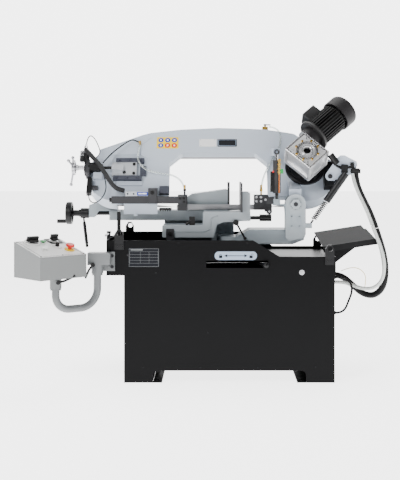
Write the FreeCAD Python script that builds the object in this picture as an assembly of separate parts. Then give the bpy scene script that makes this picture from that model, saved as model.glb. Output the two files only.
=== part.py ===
"""Semi-automatic mitring band saw on a sheet-metal cabinet, written as one STEP file per sub-part.

Millimetres, +X to the operator's right, +Y away from the operator, +Z up. The origin is the centre of the
cabinet's footprint on the floor. The saw bow leans back, so its parts are drawn in the wheel plane
(x along the blade, u up the plane, n out towards the operator) and placed with bow_place().
"""
import os
from math import atan2, cos, degrees, pi, radians, sin, sqrt, tan

import FreeCAD
import Part

os.makedirs("parts", exist_ok=True)
V = FreeCAD.Vector
X, Y, Z = V(1, 0, 0), V(0, 1, 0), V(0, 0, 1)
GAP = 0.3                      # free space kept between pieces of different bodies

# ---- cabinet and tray ----
CABINET_HALF_W, CABINET_HALF_D, CABINET_TOP = 527.0, 298.0, 537.0
SHEET = 4.0
TOE_LEFT, TOE_RIGHT, TOE_HIGH, TOE_RADIUS = -382.0, 384.0, 60.0, 25.0
FOOT_FLANGE, FOOT_BOLT_R = 45.0, 7.0
FOOT_BOLT_X, FOOT_BOLT_Y = 360.0, 250.0
TRAY_LEFT, TRAY_RIGHT, TRAY_HALF_D = -615.0, 532.0, 303.0
TRAY_RIM, TRAY_LOW_RIM, TRAY_FLOOR = 712.0, 630.5, 616.0
RIM_SLOPE_START, RIM_SLOPE_END = 119.0, 251.5
SLOT_LEFT, SLOT_RIGHT, SLOT_LOW, SLOT_HIGH = -116.0, 193.0, 574.0, 611.0

# ---- swivel and bow ----
SWIVEL_X = 36.0                # mitre axis, vertical, crosses the blade
PIVOT_X, PIVOT_Z = 344.0, 886.0
LEAN = 34.0                    # the wheel plane leans back this many degrees
BLADE_LINE_Z = 877.0           # where the wheel plane meets the blade's lower run
CUT_Z = 864.0                  # centre of the blade between the guides
WHEEL_R, WHEEL_W = 150.0, 30.0
BLADE_LENGTH, BLADE_W, BLADE_T = 2925.0, 27.0, 0.9
WHEEL_SPACING = (BLADE_LENGTH - 2 * pi * WHEEL_R) / 2
DRIVE_X = 402.0
IDLER_X = DRIVE_X - WHEEL_SPACING
BEAM_HIGH = 457.0

# ---- vise ----
BED_Z = 843.0
LOW_BED_Z, BED_UNDER = 774.0, 711.0
JAW_TOP = 993.0
FIXED_JAW_X = 61.0
MOVING_JAW_X = 7.0
SCREW_Y, SCREW_Z, SCREW_R = 120.0, 825.0, 11.0
HANDWHEEL_X, HANDWHEEL_R = -865.0, 61.0

# ---- control arm ----
ARM_PIVOT = V(-654, -350, 580)
BOX_PIVOT = V(-841, -470, 506)
PIPE_R, PIPE_WALL = 18.5, 3.0


def box(x0, x1, y0, y1, z0, z1):
    return Part.makeBox(x1 - x0, y1 - y0, z1 - z0, V(x0, y0, z0))


def cyl(start, axis, r, length):
    return Part.makeCylinder(r, length, V(*start), V(*axis))


def ring(start, axis, r_out, r_in, length):
    return cyl(start, axis, r_out, length).cut(cyl(start, axis, r_in, length))


def prism(points, direction):
    """Solid from a flat outline of 3-D points, pushed along a vector."""
    corners = [V(*p) for p in points]
    return Part.Face(Part.makePolygon(corners + corners[:1])).extrude(V(*direction))


def xz_prism(points, y0, y1):
    return prism([(x, y0, z) for x, z in points], (0, y1 - y0, 0))


def xy_prism(points, z0, z1):
    return prism([(x, y, z0) for x, y in points], (0, 0, z1 - z0))


def yz_prism(points, x0, x1):
    return prism([(x0, y, z) for y, z in points], (x1 - x0, 0, 0))


def fuse(*shapes):
    first = shapes[0]
    return first.fuse(list(shapes[1:])).removeSplitter() if len(shapes) > 1 else first


def group(*shapes):
    return Part.makeCompound([s for shape in shapes for s in shape.Solids])


def soften(shape, radius, keep):
    """Fillet the edges that keep() picks; a fillet that fails leaves the plain edge."""
    edges = [e for e in shape.Edges if keep(e)]
    try:
        rounded = shape.makeFillet(radius, edges)
        return rounded if rounded.isValid() and rounded.Solids else shape
    except Part.OCCError:
        return shape


def along(edge, axis):
    """True for a straight edge that runs along an axis."""
    if not isinstance(edge.Curve, Part.Line):
        return False
    return abs(edge.Curve.Direction.dot(V(*axis))) > 0.999


def bow_place(shape):
    """Move a shape drawn as (x, u, n) into the leaning wheel plane."""
    placed = shape.copy()
    turn = FreeCAD.Rotation(X, 90 - LEAN)
    placed.Placement = FreeCAD.Placement(V(0, 0, BLADE_LINE_Z), turn).multiply(placed.Placement)
    return placed


def bow_point(x, u, n):
    lean = radians(LEAN)
    return V(x, u * sin(lean) - n * cos(lean), BLADE_LINE_Z + u * cos(lean) + n * sin(lean))


def hex_bolt(start, axis, across, high):
    """Hexagon head whose back face sits at start."""
    direction = V(*axis)
    side = direction.cross(Z) if abs(direction.z) < 0.9 else direction.cross(X)
    side.normalize()
    other = direction.cross(side)
    corner = across / sqrt(3)
    points = [V(*start) + side * corner * cos(k * pi / 3) + other * corner * sin(k * pi / 3) for k in range(6)]
    return Part.Face(Part.makePolygon(points + points[:1])).extrude(direction * high)


def tube_path(points):
    """Straight runs joined by arcs as large as the runs allow; returns the wire and the arc radii."""
    route = [V(*p) for p in points]
    edges, radii, last = [], [], route[0]
    for before, corner, after in zip(route, route[1:], route[2:]):
        way_in = (corner - before).normalize()
        way_out = (after - corner).normalize()
        turn = way_in.getAngle(way_out)
        cut = 0.45 * min(corner.distanceToPoint(before), corner.distanceToPoint(after))
        radius = cut / tan(turn / 2)
        start, end = corner - way_in * cut, corner + way_out * cut
        bisector = (way_out - way_in).normalize()
        centre = corner + bisector * (radius / cos(turn / 2))
        edges.append(Part.LineSegment(last, start).toShape())
        edges.append(Part.Arc(start, centre - bisector * radius, end).toShape())
        radii.append(round(radius))
        last = end
    edges.append(Part.LineSegment(last, route[-1]).toShape())
    return Part.Wire(edges), radii


def cord(name, points, diameter, bore=0.0):
    """Round cord or hose along a route; prints its length, tightest arcs and a volume check."""
    wire, radii = tube_path(points)
    start, ahead = V(*points[0]), V(*points[1]) - V(*points[0])
    profile = Part.Wire([Part.makeCircle(diameter / 2, start, ahead)])
    solid = wire.makePipeShell([profile], True, False)
    expected = pi * diameter ** 2 / 4 * wire.Length
    print("%s length %.0f mm, radii %s, volume ratio %.3f"
          % (name, wire.Length, radii, solid.Volume / expected))
    return solid


PARTS = {}


def keep(name, shape):
    PARTS[name] = shape


# ---------------------------------------------------------------- cabinet and tray
def cabinet():
    w, d = CABINET_HALF_W, CABINET_HALF_D
    shell = box(-w, w, -d, d, 0, CABINET_TOP).cut(
        box(-w + SHEET, w - SHEET, -d + SHEET, d - SHEET, -1, CABINET_TOP - SHEET))
    toe = box(TOE_LEFT, TOE_RIGHT, -d - 1, d + 1, -1, TOE_HIGH)
    toe = soften(toe, TOE_RADIUS, lambda e: along(e, (0, 1, 0)) and e.CenterOfMass.z > 1)
    shell = shell.cut(toe)
    shell = shell.cut(box(-360, 360, d - 20, d + 1, 130, 470))
    flanges = [box(x0, x0 + FOOT_FLANGE, -d, d, 0, SHEET + 2) for x0 in (TOE_LEFT, TOE_RIGHT - FOOT_FLANGE)]
    pads = [box(min(s * w, s * TOE_RIGHT), max(s * w, s * TOE_RIGHT), -d, d, 0, SHEET + 2) for s in (-1, 1)]
    shelf = box(-w + SHEET, w - SHEET, -d + SHEET, d - SHEET, 90, 90 + SHEET)
    shell = fuse(shell, shelf, *flanges, *pads)
    for sx in (-1, 1):
        for sy in (-1, 1):
            shell = shell.cut(cyl((sx * FOOT_BOLT_X, sy * FOOT_BOLT_Y, -1), Z, FOOT_BOLT_R, 20))
    return shell


def tray():
    profile = [(TRAY_LEFT, CABINET_TOP), (TRAY_RIGHT, CABINET_TOP), (TRAY_RIGHT, TRAY_LOW_RIM),
               (RIM_SLOPE_END, TRAY_LOW_RIM), (RIM_SLOPE_START, TRAY_RIM), (TRAY_LEFT, TRAY_RIM)]
    d, t = TRAY_HALF_D, 3.0
    body = xz_prism(profile, -d, d)
    left, right = TRAY_LEFT + t, TRAY_RIGHT - t
    body = body.cut(box(left, right, -d + t, d - t, TRAY_FLOOR, TRAY_RIM + 1))
    body = body.cut(box(left, right, -d + t, d - t, CABINET_TOP - 1, TRAY_FLOOR - t))
    slot = box(SLOT_LEFT, SLOT_RIGHT, -d - 1, -d + t + 1, SLOT_LOW, SLOT_HIGH)
    body = body.cut(slot).cut(cyl((SWIVEL_X, 0, 500), Z, 45, 200))
    return fuse(body, box(left, -CABINET_HALF_W, -d + t, d - t, CABINET_TOP, CABINET_TOP + t))


def lifting_lug(x, y, top, out):
    """Flat ear with an eye, bolted to the tray's side; out is +1 or -1 along Y."""
    w, low = 46.0, top - 100
    y0, y1 = sorted((y, y + out * 8))
    plate = xz_prism([(x, low), (x + w, low), (x + w, top - 22), (x + w - 14, top), (x + 14, top), (x, top - 22)],
                     y0, y1)
    plate = plate.cut(cyl((x + 26, y0 - 1, top - 20), Y, 12, 10))
    bolts = [hex_bolt((x + bx, y0 if out < 0 else y1, low + 20), (0, out, 0), 10, 5) for bx in (12, 34)]
    return [plate] + bolts


def tray_fittings():
    d = TRAY_HALF_D
    lugs = lifting_lug(-574, -d, 766, -1) + lifting_lug(-574, d, 766, 1)
    lugs += lifting_lug(478, -d, 690, -1) + lifting_lug(478, d, 690, 1)
    return group(*lugs)


def panel_fasteners():
    front = -CABINET_HALF_D
    rivets = [(-107, 250), (-430, 76), (-144, 75), (142, 75), (431, 78)]
    screws = [(-255, 700), (89, 700), (-368, 550)]
    heads = [cyl((x, front, z), (0, -1, 0), 4.5, 2) for x, z in rivets]
    heads += [cyl((x, -TRAY_HALF_D, z), (0, -1, 0), 5.5, 3) for x, z in screws]
    heads += [cyl((362, -TRAY_HALF_D, 552), (0, -1, 0), 13, 2),
              hex_bolt((362, -TRAY_HALF_D - 2, 552), (0, -1, 0), 13, 6)]
    return group(*heads)


keep("cabinet", cabinet())
keep("chip_tray", tray())
keep("lifting_lugs", tray_fittings())
keep("panel_fasteners", panel_fasteners())


# ---------------------------------------------------------------- coolant tank and pump
TANK = (-300.0, 120.0, -200.0, 180.0, 94.0, 300.0)


def coolant_tank():
    x0, x1, y0, y1, z0, z1 = TANK
    shell = box(*TANK).cut(box(x0 + 3, x1 - 3, y0 + 3, y1 - 3, z0 + 3, z1 - 3))
    return shell.cut(cyl((x1 - 90, 0, z1 - 10), Z, 45, 20))


def coolant_pump():
    x, z = TANK[1] - 90, TANK[5]
    parts = [cyl((x, 0, z - 180), Z, 38, 180), cyl((x, 0, z), Z, 70, 10), cyl((x, 0, z + 10), Z, 55, 120),
             cyl((x, 0, z + 130), Z, 48, 12), cyl((x, 0, z + 25), X, 14, 80)]
    return fuse(*parts)


keep("coolant_tank", coolant_tank())
keep("coolant_pump", coolant_pump())


# ---------------------------------------------------------------- bed, jaws and swivel seat
def vise_bed():
    low = xz_prism([(-347, BED_UNDER), (-80, BED_UNDER), (-62, 778), (-30, 790), (112, 797), (112, BED_Z),
                    (-135.5, BED_Z), (-135.5, LOW_BED_Z), (-347, LOW_BED_Z)], -105, 220)
    low = soften(low, 8, lambda e: along(e, (0, 1, 0)) and e.CenterOfMass.x < -130)
    channel = box(-400, FIXED_JAW_X - 5, SCREW_Y - 26, SCREW_Y + 26, SCREW_Z - 24, BED_Z + 1)
    blade_slot = box(-400, 200, -5, 5, CUT_Z - 30, BED_Z + 1)
    column = fuse(cyl((SWIVEL_X, 0, TRAY_FLOOR + 0.5), Z, 95, 55),
                  box(-330, 10, 60, 200, TRAY_FLOOR, BED_UNDER + 5))
    rear_web = box(-120, 30, 150, 205, TRAY_FLOOR, 800)
    seat = fuse(low, column, rear_web, box(-90, -64, -60, 180, TRAY_FLOOR, 790))
    seat = seat.cut(channel).cut(blade_slot).cut(cyl((SWIVEL_X, 0, 500), Z, 20.2, 300))
    swing = cyl((SWIVEL_X, 0, 671), Z, 97, 118).cut(cyl((SWIVEL_X, 0, 670), Z, 0.5, 120))
    return seat.cut(swing)


def fixed_jaw():
    front = fuse(box(FIXED_JAW_X, FIXED_JAW_X + 9, -150, -12, BED_Z, JAW_TOP),
                 xz_prism([(FIXED_JAW_X + 9, BED_Z), (111, BED_Z), (111, 940), (100, 949), (FIXED_JAW_X + 9, 949)],
                          -104, -40))
    rear = fuse(box(FIXED_JAW_X, FIXED_JAW_X + 9, 62, 218, BED_Z, JAW_TOP))
    return group(front, rear)


def moving_jaw():
    x1, x0 = MOVING_JAW_X, -223.0
    casting = xz_prism([(x0, 852), (x1 - 12, 852), (x1 - 12, 957), (x0 + 25, 930), (x0, 915)], 58, 200)
    casting = soften(casting, 10, lambda e: along(e, (0, 1, 0)) and e.CenterOfMass.z > 900)
    sole = box(x0 + 88, x1 - 12, 58, 200, BED_Z + GAP, 852)
    tongue = box(x0 + 60, x1 - 60, SCREW_Y - 25, SCREW_Y + 25, SCREW_Z - 20, 853)
    plate = box(x1 - 12, x1, 56, 214, BED_Z + GAP, JAW_TOP)
    return fuse(casting, sole, tongue, plate).cut(cyl((-900, SCREW_Y, SCREW_Z), X, SCREW_R + 0.05, 1000))


def screw_housing():
    """Casting at the screw's outer end and the channelled rail that the moving jaw runs back along."""
    head = xz_prism([(-751, 805), (-751, 870), (-717, 883), (-600, 883), (-600, 838), (-700, 838), (-722, 805)],
                    80, 160)
    rail = box(-640, -137, 62, 178, 790, BED_Z - 0.5)
    rail = rail.cut(box(-590, -136, SCREW_Y - 26, SCREW_Y + 26, SCREW_Z - 24, BED_Z))
    web = box(-345, -137, 100, 140, LOW_BED_Z, 791)
    return fuse(head, rail, web).cut(cyl((-900, SCREW_Y, SCREW_Z), X, SCREW_R + 0.05, 400))


def rapid_lever():
    """Quick-action lever hanging from a sleeve round the screw's collar."""
    sleeve = ring((-800, SCREW_Y, SCREW_Z), X, 28, 20.3, 44)
    rod = Part.makeCone(5, 7, 152, V(-784, SCREW_Y - 8, SCREW_Z - 24), V(19, -6, -152))
    return fuse(sleeve, rod, Part.makeSphere(8.5, V(-765, SCREW_Y - 14, SCREW_Z - 176)))


def vise_handwheel():
    screw = cyl((-800, SCREW_Y, SCREW_Z), X, SCREW_R, 760)
    collar = cyl((-810, SCREW_Y, SCREW_Z), X, 20, 58)
    rim = soften(ring((HANDWHEEL_X - 13, SCREW_Y, SCREW_Z), X, HANDWHEEL_R, HANDWHEEL_R - 17, 32), 7,
                 lambda e: isinstance(e.Curve, Part.Circle))
    hub = cyl((HANDWHEEL_X - 18, SCREW_Y, SCREW_Z), X, 17, 90)
    web = ring((HANDWHEEL_X - 3, SCREW_Y, SCREW_Z), X, HANDWHEEL_R - 10, 15, 6)
    for k in range(3):
        a = 2 * pi * k / 3
        web = web.cut(cyl((HANDWHEEL_X - 9, SCREW_Y + 34 * cos(a), SCREW_Z + 34 * sin(a)), X, 11, 20))
    stub = cyl((HANDWHEEL_X - 14, SCREW_Y - 14, SCREW_Z - 43), X, 7, 12)
    pin = cyl((HANDWHEEL_X - 62, SCREW_Y - 14, SCREW_Z - 43), X, 4, 50)
    return fuse(screw, collar, rim, hub, web, stub, pin)


def crank_grip():
    grip = cyl((HANDWHEEL_X - 62, SCREW_Y - 14, SCREW_Z - 43), X, 11, 47.5)
    grip = soften(grip, 3, lambda e: isinstance(e.Curve, Part.Circle))
    return grip.cut(cyl((HANDWHEEL_X - 63, SCREW_Y - 14, SCREW_Z - 43), X, 4.05, 60))


def lever_front(hub, hub_r, hub_h, reach, rod_r):
    """The same lever with its hub axis along Y."""
    start, arm = V(*hub), V(*reach)
    rod = Part.makeCone(rod_r, rod_r * 0.8, arm.Length, start, arm)
    return fuse(cyl((start.x, start.y - hub_h / 2, start.z), Y, hub_r, hub_h), rod,
                Part.makeSphere(rod_r * 1.5, start + arm))


VISE_LOCK = (37.0, -118.2, 790.0)
keep("vise_bed", vise_bed())
keep("fixed_jaw", fixed_jaw())
keep("moving_jaw", moving_jaw())
keep("screw_housing", screw_housing())
keep("vise_handwheel", vise_handwheel())
keep("crank_grip", crank_grip())
keep("jaw_rapid_lever", rapid_lever())
keep("vise_lock_lever", lever_front(VISE_LOCK, 15, 26, (46, -12, -82), 5.5))
keep("mitre_knob", fuse(cyl((112.3, -84, 812), X, 10, 60), cyl((160, -84, 812), X, 18, 62)))


def mitre_lock():
    """Lever under the tray that swings about the mitre axis; its knob shows in the apron's slot."""
    angle = radians(-67)
    tip = V(SWIVEL_X + 372 * cos(angle), 372 * sin(angle), 592)
    bar = Part.makeCylinder(7, 364, V(SWIVEL_X, 0, 592), V(cos(angle), sin(angle), 0))
    hub = cyl((SWIVEL_X, 0, 578), Z, 34, 28)
    return fuse(hub, bar, Part.makeSphere(16, tip)).cut(cyl((SWIVEL_X, 0, 500), Z, 18.3, 200))


keep("mitre_lock_lever", mitre_lock())


# ---------------------------------------------------------------- swivel base
EAR_Y0, EAR_Y1 = -150.0, -120.0
REAR_EAR_Y0, REAR_EAR_Y1 = -72.0, -60.0


def swivel_base():
    disc = cyl((SWIVEL_X, 0, 671.5), Z, 94, 40)
    stem = cyl((SWIVEL_X, 0, 606.5), Z, 18, 66)
    arm = xz_prism([(SWIVEL_X, 676), (330, 676), (390, 700), (390, 752), (SWIVEL_X + 70, 752), (SWIVEL_X, 711)],
                   -118, 68)
    arm = soften(arm, 8, lambda e: along(e, (1, 0, 0)))
    ears = []
    for y0, y1 in ((EAR_Y0, EAR_Y1), (REAR_EAR_Y0, REAR_EAR_Y1)):
        outline = fuse(cyl((PIVOT_X, y0, PIVOT_Z), Y, 52, y1 - y0),
                       xz_prism([(PIVOT_X - 52, 715), (PIVOT_X - 35, 695), (PIVOT_X + 42, 713), (PIVOT_X + 52, 730),
                                 (PIVOT_X + 52, PIVOT_Z), (PIVOT_X - 52, PIVOT_Z)], y0, y1))
        ears.append(outline)
    web = box(PIVOT_X - 50, PIVOT_X + 50, EAR_Y1 - 1, REAR_EAR_Y0 + 1, 712, 752)
    base = fuse(disc, stem, arm, web, *ears)
    base = base.cut(cyl((PIVOT_X, -200, PIVOT_Z), Y, 25.05, 400))
    for x in (PIVOT_X - 21, PIVOT_X + 19):
        for z in (774, 824):
            base = base.cut(cyl((x, EAR_Y0 - 1, z), Y, 4, 14))
    foot_plate = box(226, PIVOT_X - 40, EAR_Y0 + 2, EAR_Y1 - 2, 880, 887)
    foot_web = xz_prism([(282, 887), (PIVOT_X - 40, 887), (PIVOT_X - 40, 760), (296, 760)], EAR_Y0 + 8, EAR_Y1 - 8)
    hook_lug = fuse(box(PIVOT_X + 40, PIVOT_X + 84, EAR_Y0 + 2, EAR_Y0 + 14, 762, 788),
                    cyl((PIVOT_X + 72, EAR_Y0 + 14, 775), Y, 5, 18))
    return fuse(base, foot_plate, foot_web, hook_lug)


def pivot_shaft():
    return fuse(cyl((PIVOT_X, EAR_Y0 - 5, PIVOT_Z), Y, 25, REAR_EAR_Y1 - EAR_Y0 + 10),
                hex_bolt((PIVOT_X, EAR_Y0 - 5, PIVOT_Z), (0, -1, 0), 50, 6))


CYLINDER_FOOT = V(247, -136, 905)
CYLINDER_TOP_Z, CYLINDER_R = 1155.0, 20.0


def cylinder_mount():
    x, y = CYLINDER_FOOT.x, CYLINDER_FOOT.y
    cheeks = [box(x - 17, x + 17, y + s * 11 - 5, y + s * 11 + 5, 887, CYLINDER_FOOT.z + 8) for s in (-1, 1)]
    bridge = box(x - 17, x + 17, y - 16, y + 16, 887, 892)
    return fuse(bridge, cyl((x, y - 20, CYLINDER_FOOT.z), Y, 5, 40), *cheeks)


def feed_cylinder():
    x, y, z = CYLINDER_FOOT
    eye = cyl((x, y - 5.6, z), Y, 11.5, 11.2).cut(cyl((x, y - 8, z), Y, 5.05, 20))
    barrel = fuse(cyl((x, y, z + 25), Z, 9, 15), cyl((x, y, z + 38), Z, CYLINDER_R, 170)).cut(
        cyl((x, y, z + 60), Z, 12, 200))
    neck = box(x - 8, x + 8, y - 5.6, y + 5.6, z + 8, z + 26)
    valve = fuse(box(x - 34, x - 15, y - 14, y + 14, z + 44, z + 150),
                 *[cyl((x - 25, y, z + dz), (0, -1, 0), 8, 26) for dz in (66, 94, 130)])
    return fuse(eye, neck, barrel, valve)


def feed_rod():
    x, y, z = CYLINDER_FOOT
    rod = cyl((x, y, z + 70), Z, 9, CYLINDER_TOP_Z - z - 80)
    piston = cyl((x, y, z + 64), Z, 11.9, 16)
    head = cyl((x, y - 10, CYLINDER_TOP_Z), Y, 14, 20)
    return fuse(rod, piston, head).cut(cyl((x, y - 12, CYLINDER_TOP_Z), Y, 6, 30))


keep("swivel_base", group(swivel_base(), cylinder_mount().cut(swivel_base()), pivot_shaft()))
keep("feed_cylinder", feed_cylinder())
keep("feed_rod", feed_rod())


# ---------------------------------------------------------------- bow, drawn as (x, u, n)
PLATE_BACK, PLATE_FRONT = 18.0, 60.0
HUB_U = WHEEL_R                              # both wheel axles lie this far up the plane
HOUSING_R = 165.0
MOTOR_ANGLE = 45.0
WORM_OFFSET = 63.0
GEARBOX_A, GEARBOX_B, GEARBOX_BACK, GEARBOX_FACE = 150.0, 176.0, 172.0, 290.0
TWIST_START, CUT_LEFT, CUT_RIGHT = 70.0, -275.0, 212.0
MOTOR_START, MOTOR_R, MOTOR_LONG, COWL_LONG = 122.0, 78.0, 168.0, 84.0


def bow_frame():
    top = [(-700, 312), (-468, 410), (-424, 424), (-260, 446), (-55, BEAM_HIGH), (116, 452), (199, 447),
           (285, 433), (360, 418), (470, 330), (560, 230)]
    bottom = [(560, 90), (450, 16), (206, 16), (206, 226), (142, 291), (-249, 291), (-316, 226), (-316, 16),
              (-560, 16), (-700, 110)]
    plate = xy_prism(top + bottom, PLATE_BACK, PLATE_FRONT)
    plate = soften(plate, 12, lambda e: along(e, (0, 0, 1)))
    discs = [cyl((x, HUB_U, PLATE_BACK), Z, HOUSING_R, PLATE_FRONT - PLATE_BACK) for x in (IDLER_X, DRIVE_X)]
    rims = []
    for x in (IDLER_X, DRIVE_X):
        rim = ring((x, HUB_U, -24), Z, HOUSING_R, HOUSING_R - 5, PLATE_BACK + 24)
        inner = box(x, x + 170, -20, 330, -30, PLATE_BACK) if x < 0 else box(x - 170, x, -20, 330, -30, PLATE_BACK)
        rims.append(rim.cut(inner))
    frame = fuse(plate, *discs, *rims)
    frame = frame.cut(box(IDLER_X - 22, IDLER_X + 40, HUB_U - 21, HUB_U + 21, 0, 80))
    frame = frame.cut(cyl((DRIVE_X, HUB_U, 0), Z, 32, 80))
    frame = bow_place(frame)
    hub = cyl((PIVOT_X, EAR_Y1 + 0.5, PIVOT_Z), Y, 44, REAR_EAR_Y0 - EAR_Y1 - 1)
    rib = yz_prism([(-119, 886), (-73, 886), (-73, 948), (-22, 948), (20, 1010), (-119, 962)],
                   PIVOT_X - 32, PIVOT_X + 32)
    x, y = CYLINDER_FOOT.x, CYLINDER_FOOT.y
    lug = box(x - 22, x + 14, -124, 112, CYLINDER_TOP_Z - 20, CYLINDER_TOP_Z + 20)
    frame = fuse(frame, hub, rib, lug).cut(cyl((PIVOT_X, -200, PIVOT_Z), Y, 25.05, 150))
    return frame.cut(cyl((x, -130, CYLINDER_TOP_Z), Y, 17, 32))


def saw_blade():
    """Blade loop: plain wraps and upper run, and a lower run twisted upright between the guides."""
    r, half = WHEEL_R + 0.3, BLADE_W / 2
    outer = fuse(cyl((IDLER_X, HUB_U, -half), Z, r + BLADE_T, BLADE_W),
                 cyl((DRIVE_X, HUB_U, -half), Z, r + BLADE_T, BLADE_W),
                 box(IDLER_X, DRIVE_X, HUB_U - r - BLADE_T, HUB_U + r + BLADE_T, -half, half))
    inner = fuse(cyl((IDLER_X, HUB_U, -half), Z, r, BLADE_W), cyl((DRIVE_X, HUB_U, -half), Z, r, BLADE_W),
                 box(IDLER_X, DRIVE_X, HUB_U - r, HUB_U + r, -half, half))
    lower_run = box(IDLER_X + TWIST_START, DRIVE_X - TWIST_START, -30, 60, -half - 1, half + 1)
    loop = bow_place(outer.cut(inner).cut(lower_run))

    def section(x, part):
        """Rectangle across the blade; part 0 is flat on the wheel and 1 is upright in the cut."""
        angle = radians(LEAN + 90 + (180 - 90 - LEAN) * part)
        wide, thin = V(0, cos(angle), sin(angle)), V(0, -sin(angle), cos(angle))
        flat_centre = bow_point(x, -0.3 - BLADE_T / 2, 0)
        centre = flat_centre + (V(x, 0, CUT_Z) - flat_centre) * part
        corners = [centre + wide * (a * half) + thin * (b * BLADE_T / 2)
                   for a, b in ((1, 1), (1, -1), (-1, -1), (-1, 1))]
        return Part.makePolygon(corners + corners[:1])

    steps = 5
    x0, x1 = IDLER_X + TWIST_START, DRIVE_X - TWIST_START
    left = [section(x0 + (CUT_LEFT - x0) * k / steps, k / steps) for k in range(steps + 1)]
    right = [section(CUT_RIGHT + (x1 - CUT_RIGHT) * k / steps, 1 - k / steps) for k in range(steps + 1)]
    cut_run = box(CUT_LEFT, CUT_RIGHT, -BLADE_T / 2, BLADE_T / 2, CUT_Z - half, CUT_Z + half)
    return fuse(loop, Part.makeLoft(left, True, True), cut_run, Part.makeLoft(right, True, True))


def wheel(x, axle_r, axle_start, axle_end):
    """Flanged cast wheel with six round openings, and its axle along n."""
    w = WHEEL_W / 2
    body = fuse(ring((x, HUB_U, -w), Z, WHEEL_R, WHEEL_R - 14, WHEEL_W), cyl((x, HUB_U, -w), Z, 34, WHEEL_W),
                cyl((x, HUB_U, -5), Z, WHEEL_R - 12, 10))
    for k in range(6):
        body = body.cut(cyl((x + 84 * cos(k * pi / 3), HUB_U + 84 * sin(k * pi / 3), -20), Z, 26, 40))
    return bow_place(fuse(body, cyl((x, HUB_U, axle_start), Z, axle_r, axle_end - axle_start)))


def gear_place(shape):
    """Place a shape drawn about the drive axle, with its first axis up along the motor."""
    turned = shape.copy()
    turned.rotate(V(0, 0, 0), Z, MOTOR_ANGLE)
    turned.translate(V(DRIVE_X, HUB_U, 0))
    return bow_place(turned)


def gearbox():
    a, b = GEARBOX_A / 2, GEARBOX_B / 2
    shell = box(-a, a, -b, b, GEARBOX_BACK, GEARBOX_FACE)
    shell = soften(shell, 6, lambda e: along(e, (0, 0, 1)))
    low, high = GEARBOX_BACK + 22, GEARBOX_FACE - 22
    shell = shell.cut(box(-a - 1, -a + 8, -b + 12, b - 12, low, high))
    shell = shell.cut(box(-a + 12, a - 12, -b - 1, -b + 8, low, high))
    shell = shell.cut(cyl((0, 0, GEARBOX_BACK + 8), Z, 66, GEARBOX_FACE - GEARBOX_BACK - 20))
    shell = shell.cut(cyl((-60, WORM_OFFSET, 231), X, 14, 160))
    shell = shell.cut(ring((0, 0, GEARBOX_FACE - 6), Z, 40, 30, 7))
    shell = shell.cut(cyl((0, 0, 100), Z, 20.1, 300))
    neck = ring((0, 0, PLATE_FRONT), Z, 60, 34, GEARBOX_BACK - PLATE_FRONT)
    motor_neck = ring((a, WORM_OFFSET, 231), X, 58, 48, MOTOR_START - a)
    return gear_place(fuse(shell, neck, motor_neck))


def gearbox_bolts():
    bolts = [hex_bolt((60 * cos((k + 0.5) * pi / 4), 60 * sin((k + 0.5) * pi / 4), GEARBOX_FACE), (0, 0, 1), 11, 6)
             for k in range(8)]
    flange = ring((0, 0, 134), Z, 88, 60, 10)
    lip = ring((0, 0, 120), Z, 104, 60, 14)
    return gear_place(group(*bolts, flange, lip))


def worm_wheel():
    teeth = ring((0, 0, GEARBOX_BACK + 40), Z, 53, 20, 36)
    return gear_place(teeth)


def worm_shaft():
    shaft = cyl((-40, WORM_OFFSET, 231), X, 9, 110)
    return gear_place(shaft)


def motor():
    y, n = WORM_OFFSET, 231
    start = MOTOR_START
    shell = fuse(cyl((start, y, n), X, 88, 12), cyl((start + 12, y, n), X, 66, MOTOR_LONG))
    fins = []
    for k in range(32):
        fin = box(start + 14, start + MOTOR_LONG, y - 1.6, y + 1.6, n + 60, n + MOTOR_R)
        fin.rotate(V(0, y, n), X, k * 360 / 32)
        fins.append(fin)
    lid = box(start + 44, start + 132, y + 62, y + 118, n - 42, n + 42)
    lid = soften(lid, 6, lambda e: along(e, (0, 1, 0)))
    shell = fuse(shell, lid, *fins).cut(cyl((start + 6, y, n), X, 56, MOTOR_LONG))
    return gear_place(shell)


def fan_cowl():
    y, n, start = WORM_OFFSET, 231, MOTOR_START + MOTOR_LONG + 12.5
    shell = cyl((start, y, n), X, 86, COWL_LONG)
    shell = soften(shell, 26, lambda e: isinstance(e.Curve, Part.Circle) and e.CenterOfMass.x > start + 5)
    return gear_place(shell.cut(cyl((start - 1, y, n), X, 80, COWL_LONG - 25)))


def fan():
    y, n, start = WORM_OFFSET, 231, MOTOR_START + MOTOR_LONG + 16
    blades = [cyl((start, y, n), X, 20, 34)]
    for k in range(6):
        blade = box(start, start + 34, y - 1.5, y + 1.5, n + 10, n + 68)
        blade.rotate(V(0, y, n), X, k * 60)
        blades.append(blade)
    return gear_place(fuse(*blades))


def slide_gibs():
    upper = box(-604, -452, 219, 243, PLATE_FRONT, PLATE_FRONT + 22)
    lower = box(-614, -462, 108, 132, PLATE_FRONT, PLATE_FRONT + 22)
    bolts = []
    for x, u in ((-585, 231), (-530, 231), (-476, 231), (-597, 120), (-541, 120), (-485, 120)):
        bolts.append(cyl((x, u, PLATE_FRONT + 22), Z, 7, 7))
    return bow_place(group(upper, lower, *bolts))


def tension_slide():
    block = fuse(box(-622, -490, 132.5, 218.5, PLATE_FRONT + 0.5, PLATE_FRONT + 18),
                 cyl((IDLER_X, HUB_U, 22), Z, 17, PLATE_FRONT - 21.5))
    nut = box(-622, -560, 160, 190, PLATE_FRONT + 18, PLATE_FRONT + 40)
    block = fuse(block, nut).cut(cyl((-640, 175, 90), X, 8.05, 120))
    return bow_place(block.cut(cyl((IDLER_X, HUB_U, 0), Z, 12, 74)))


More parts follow.
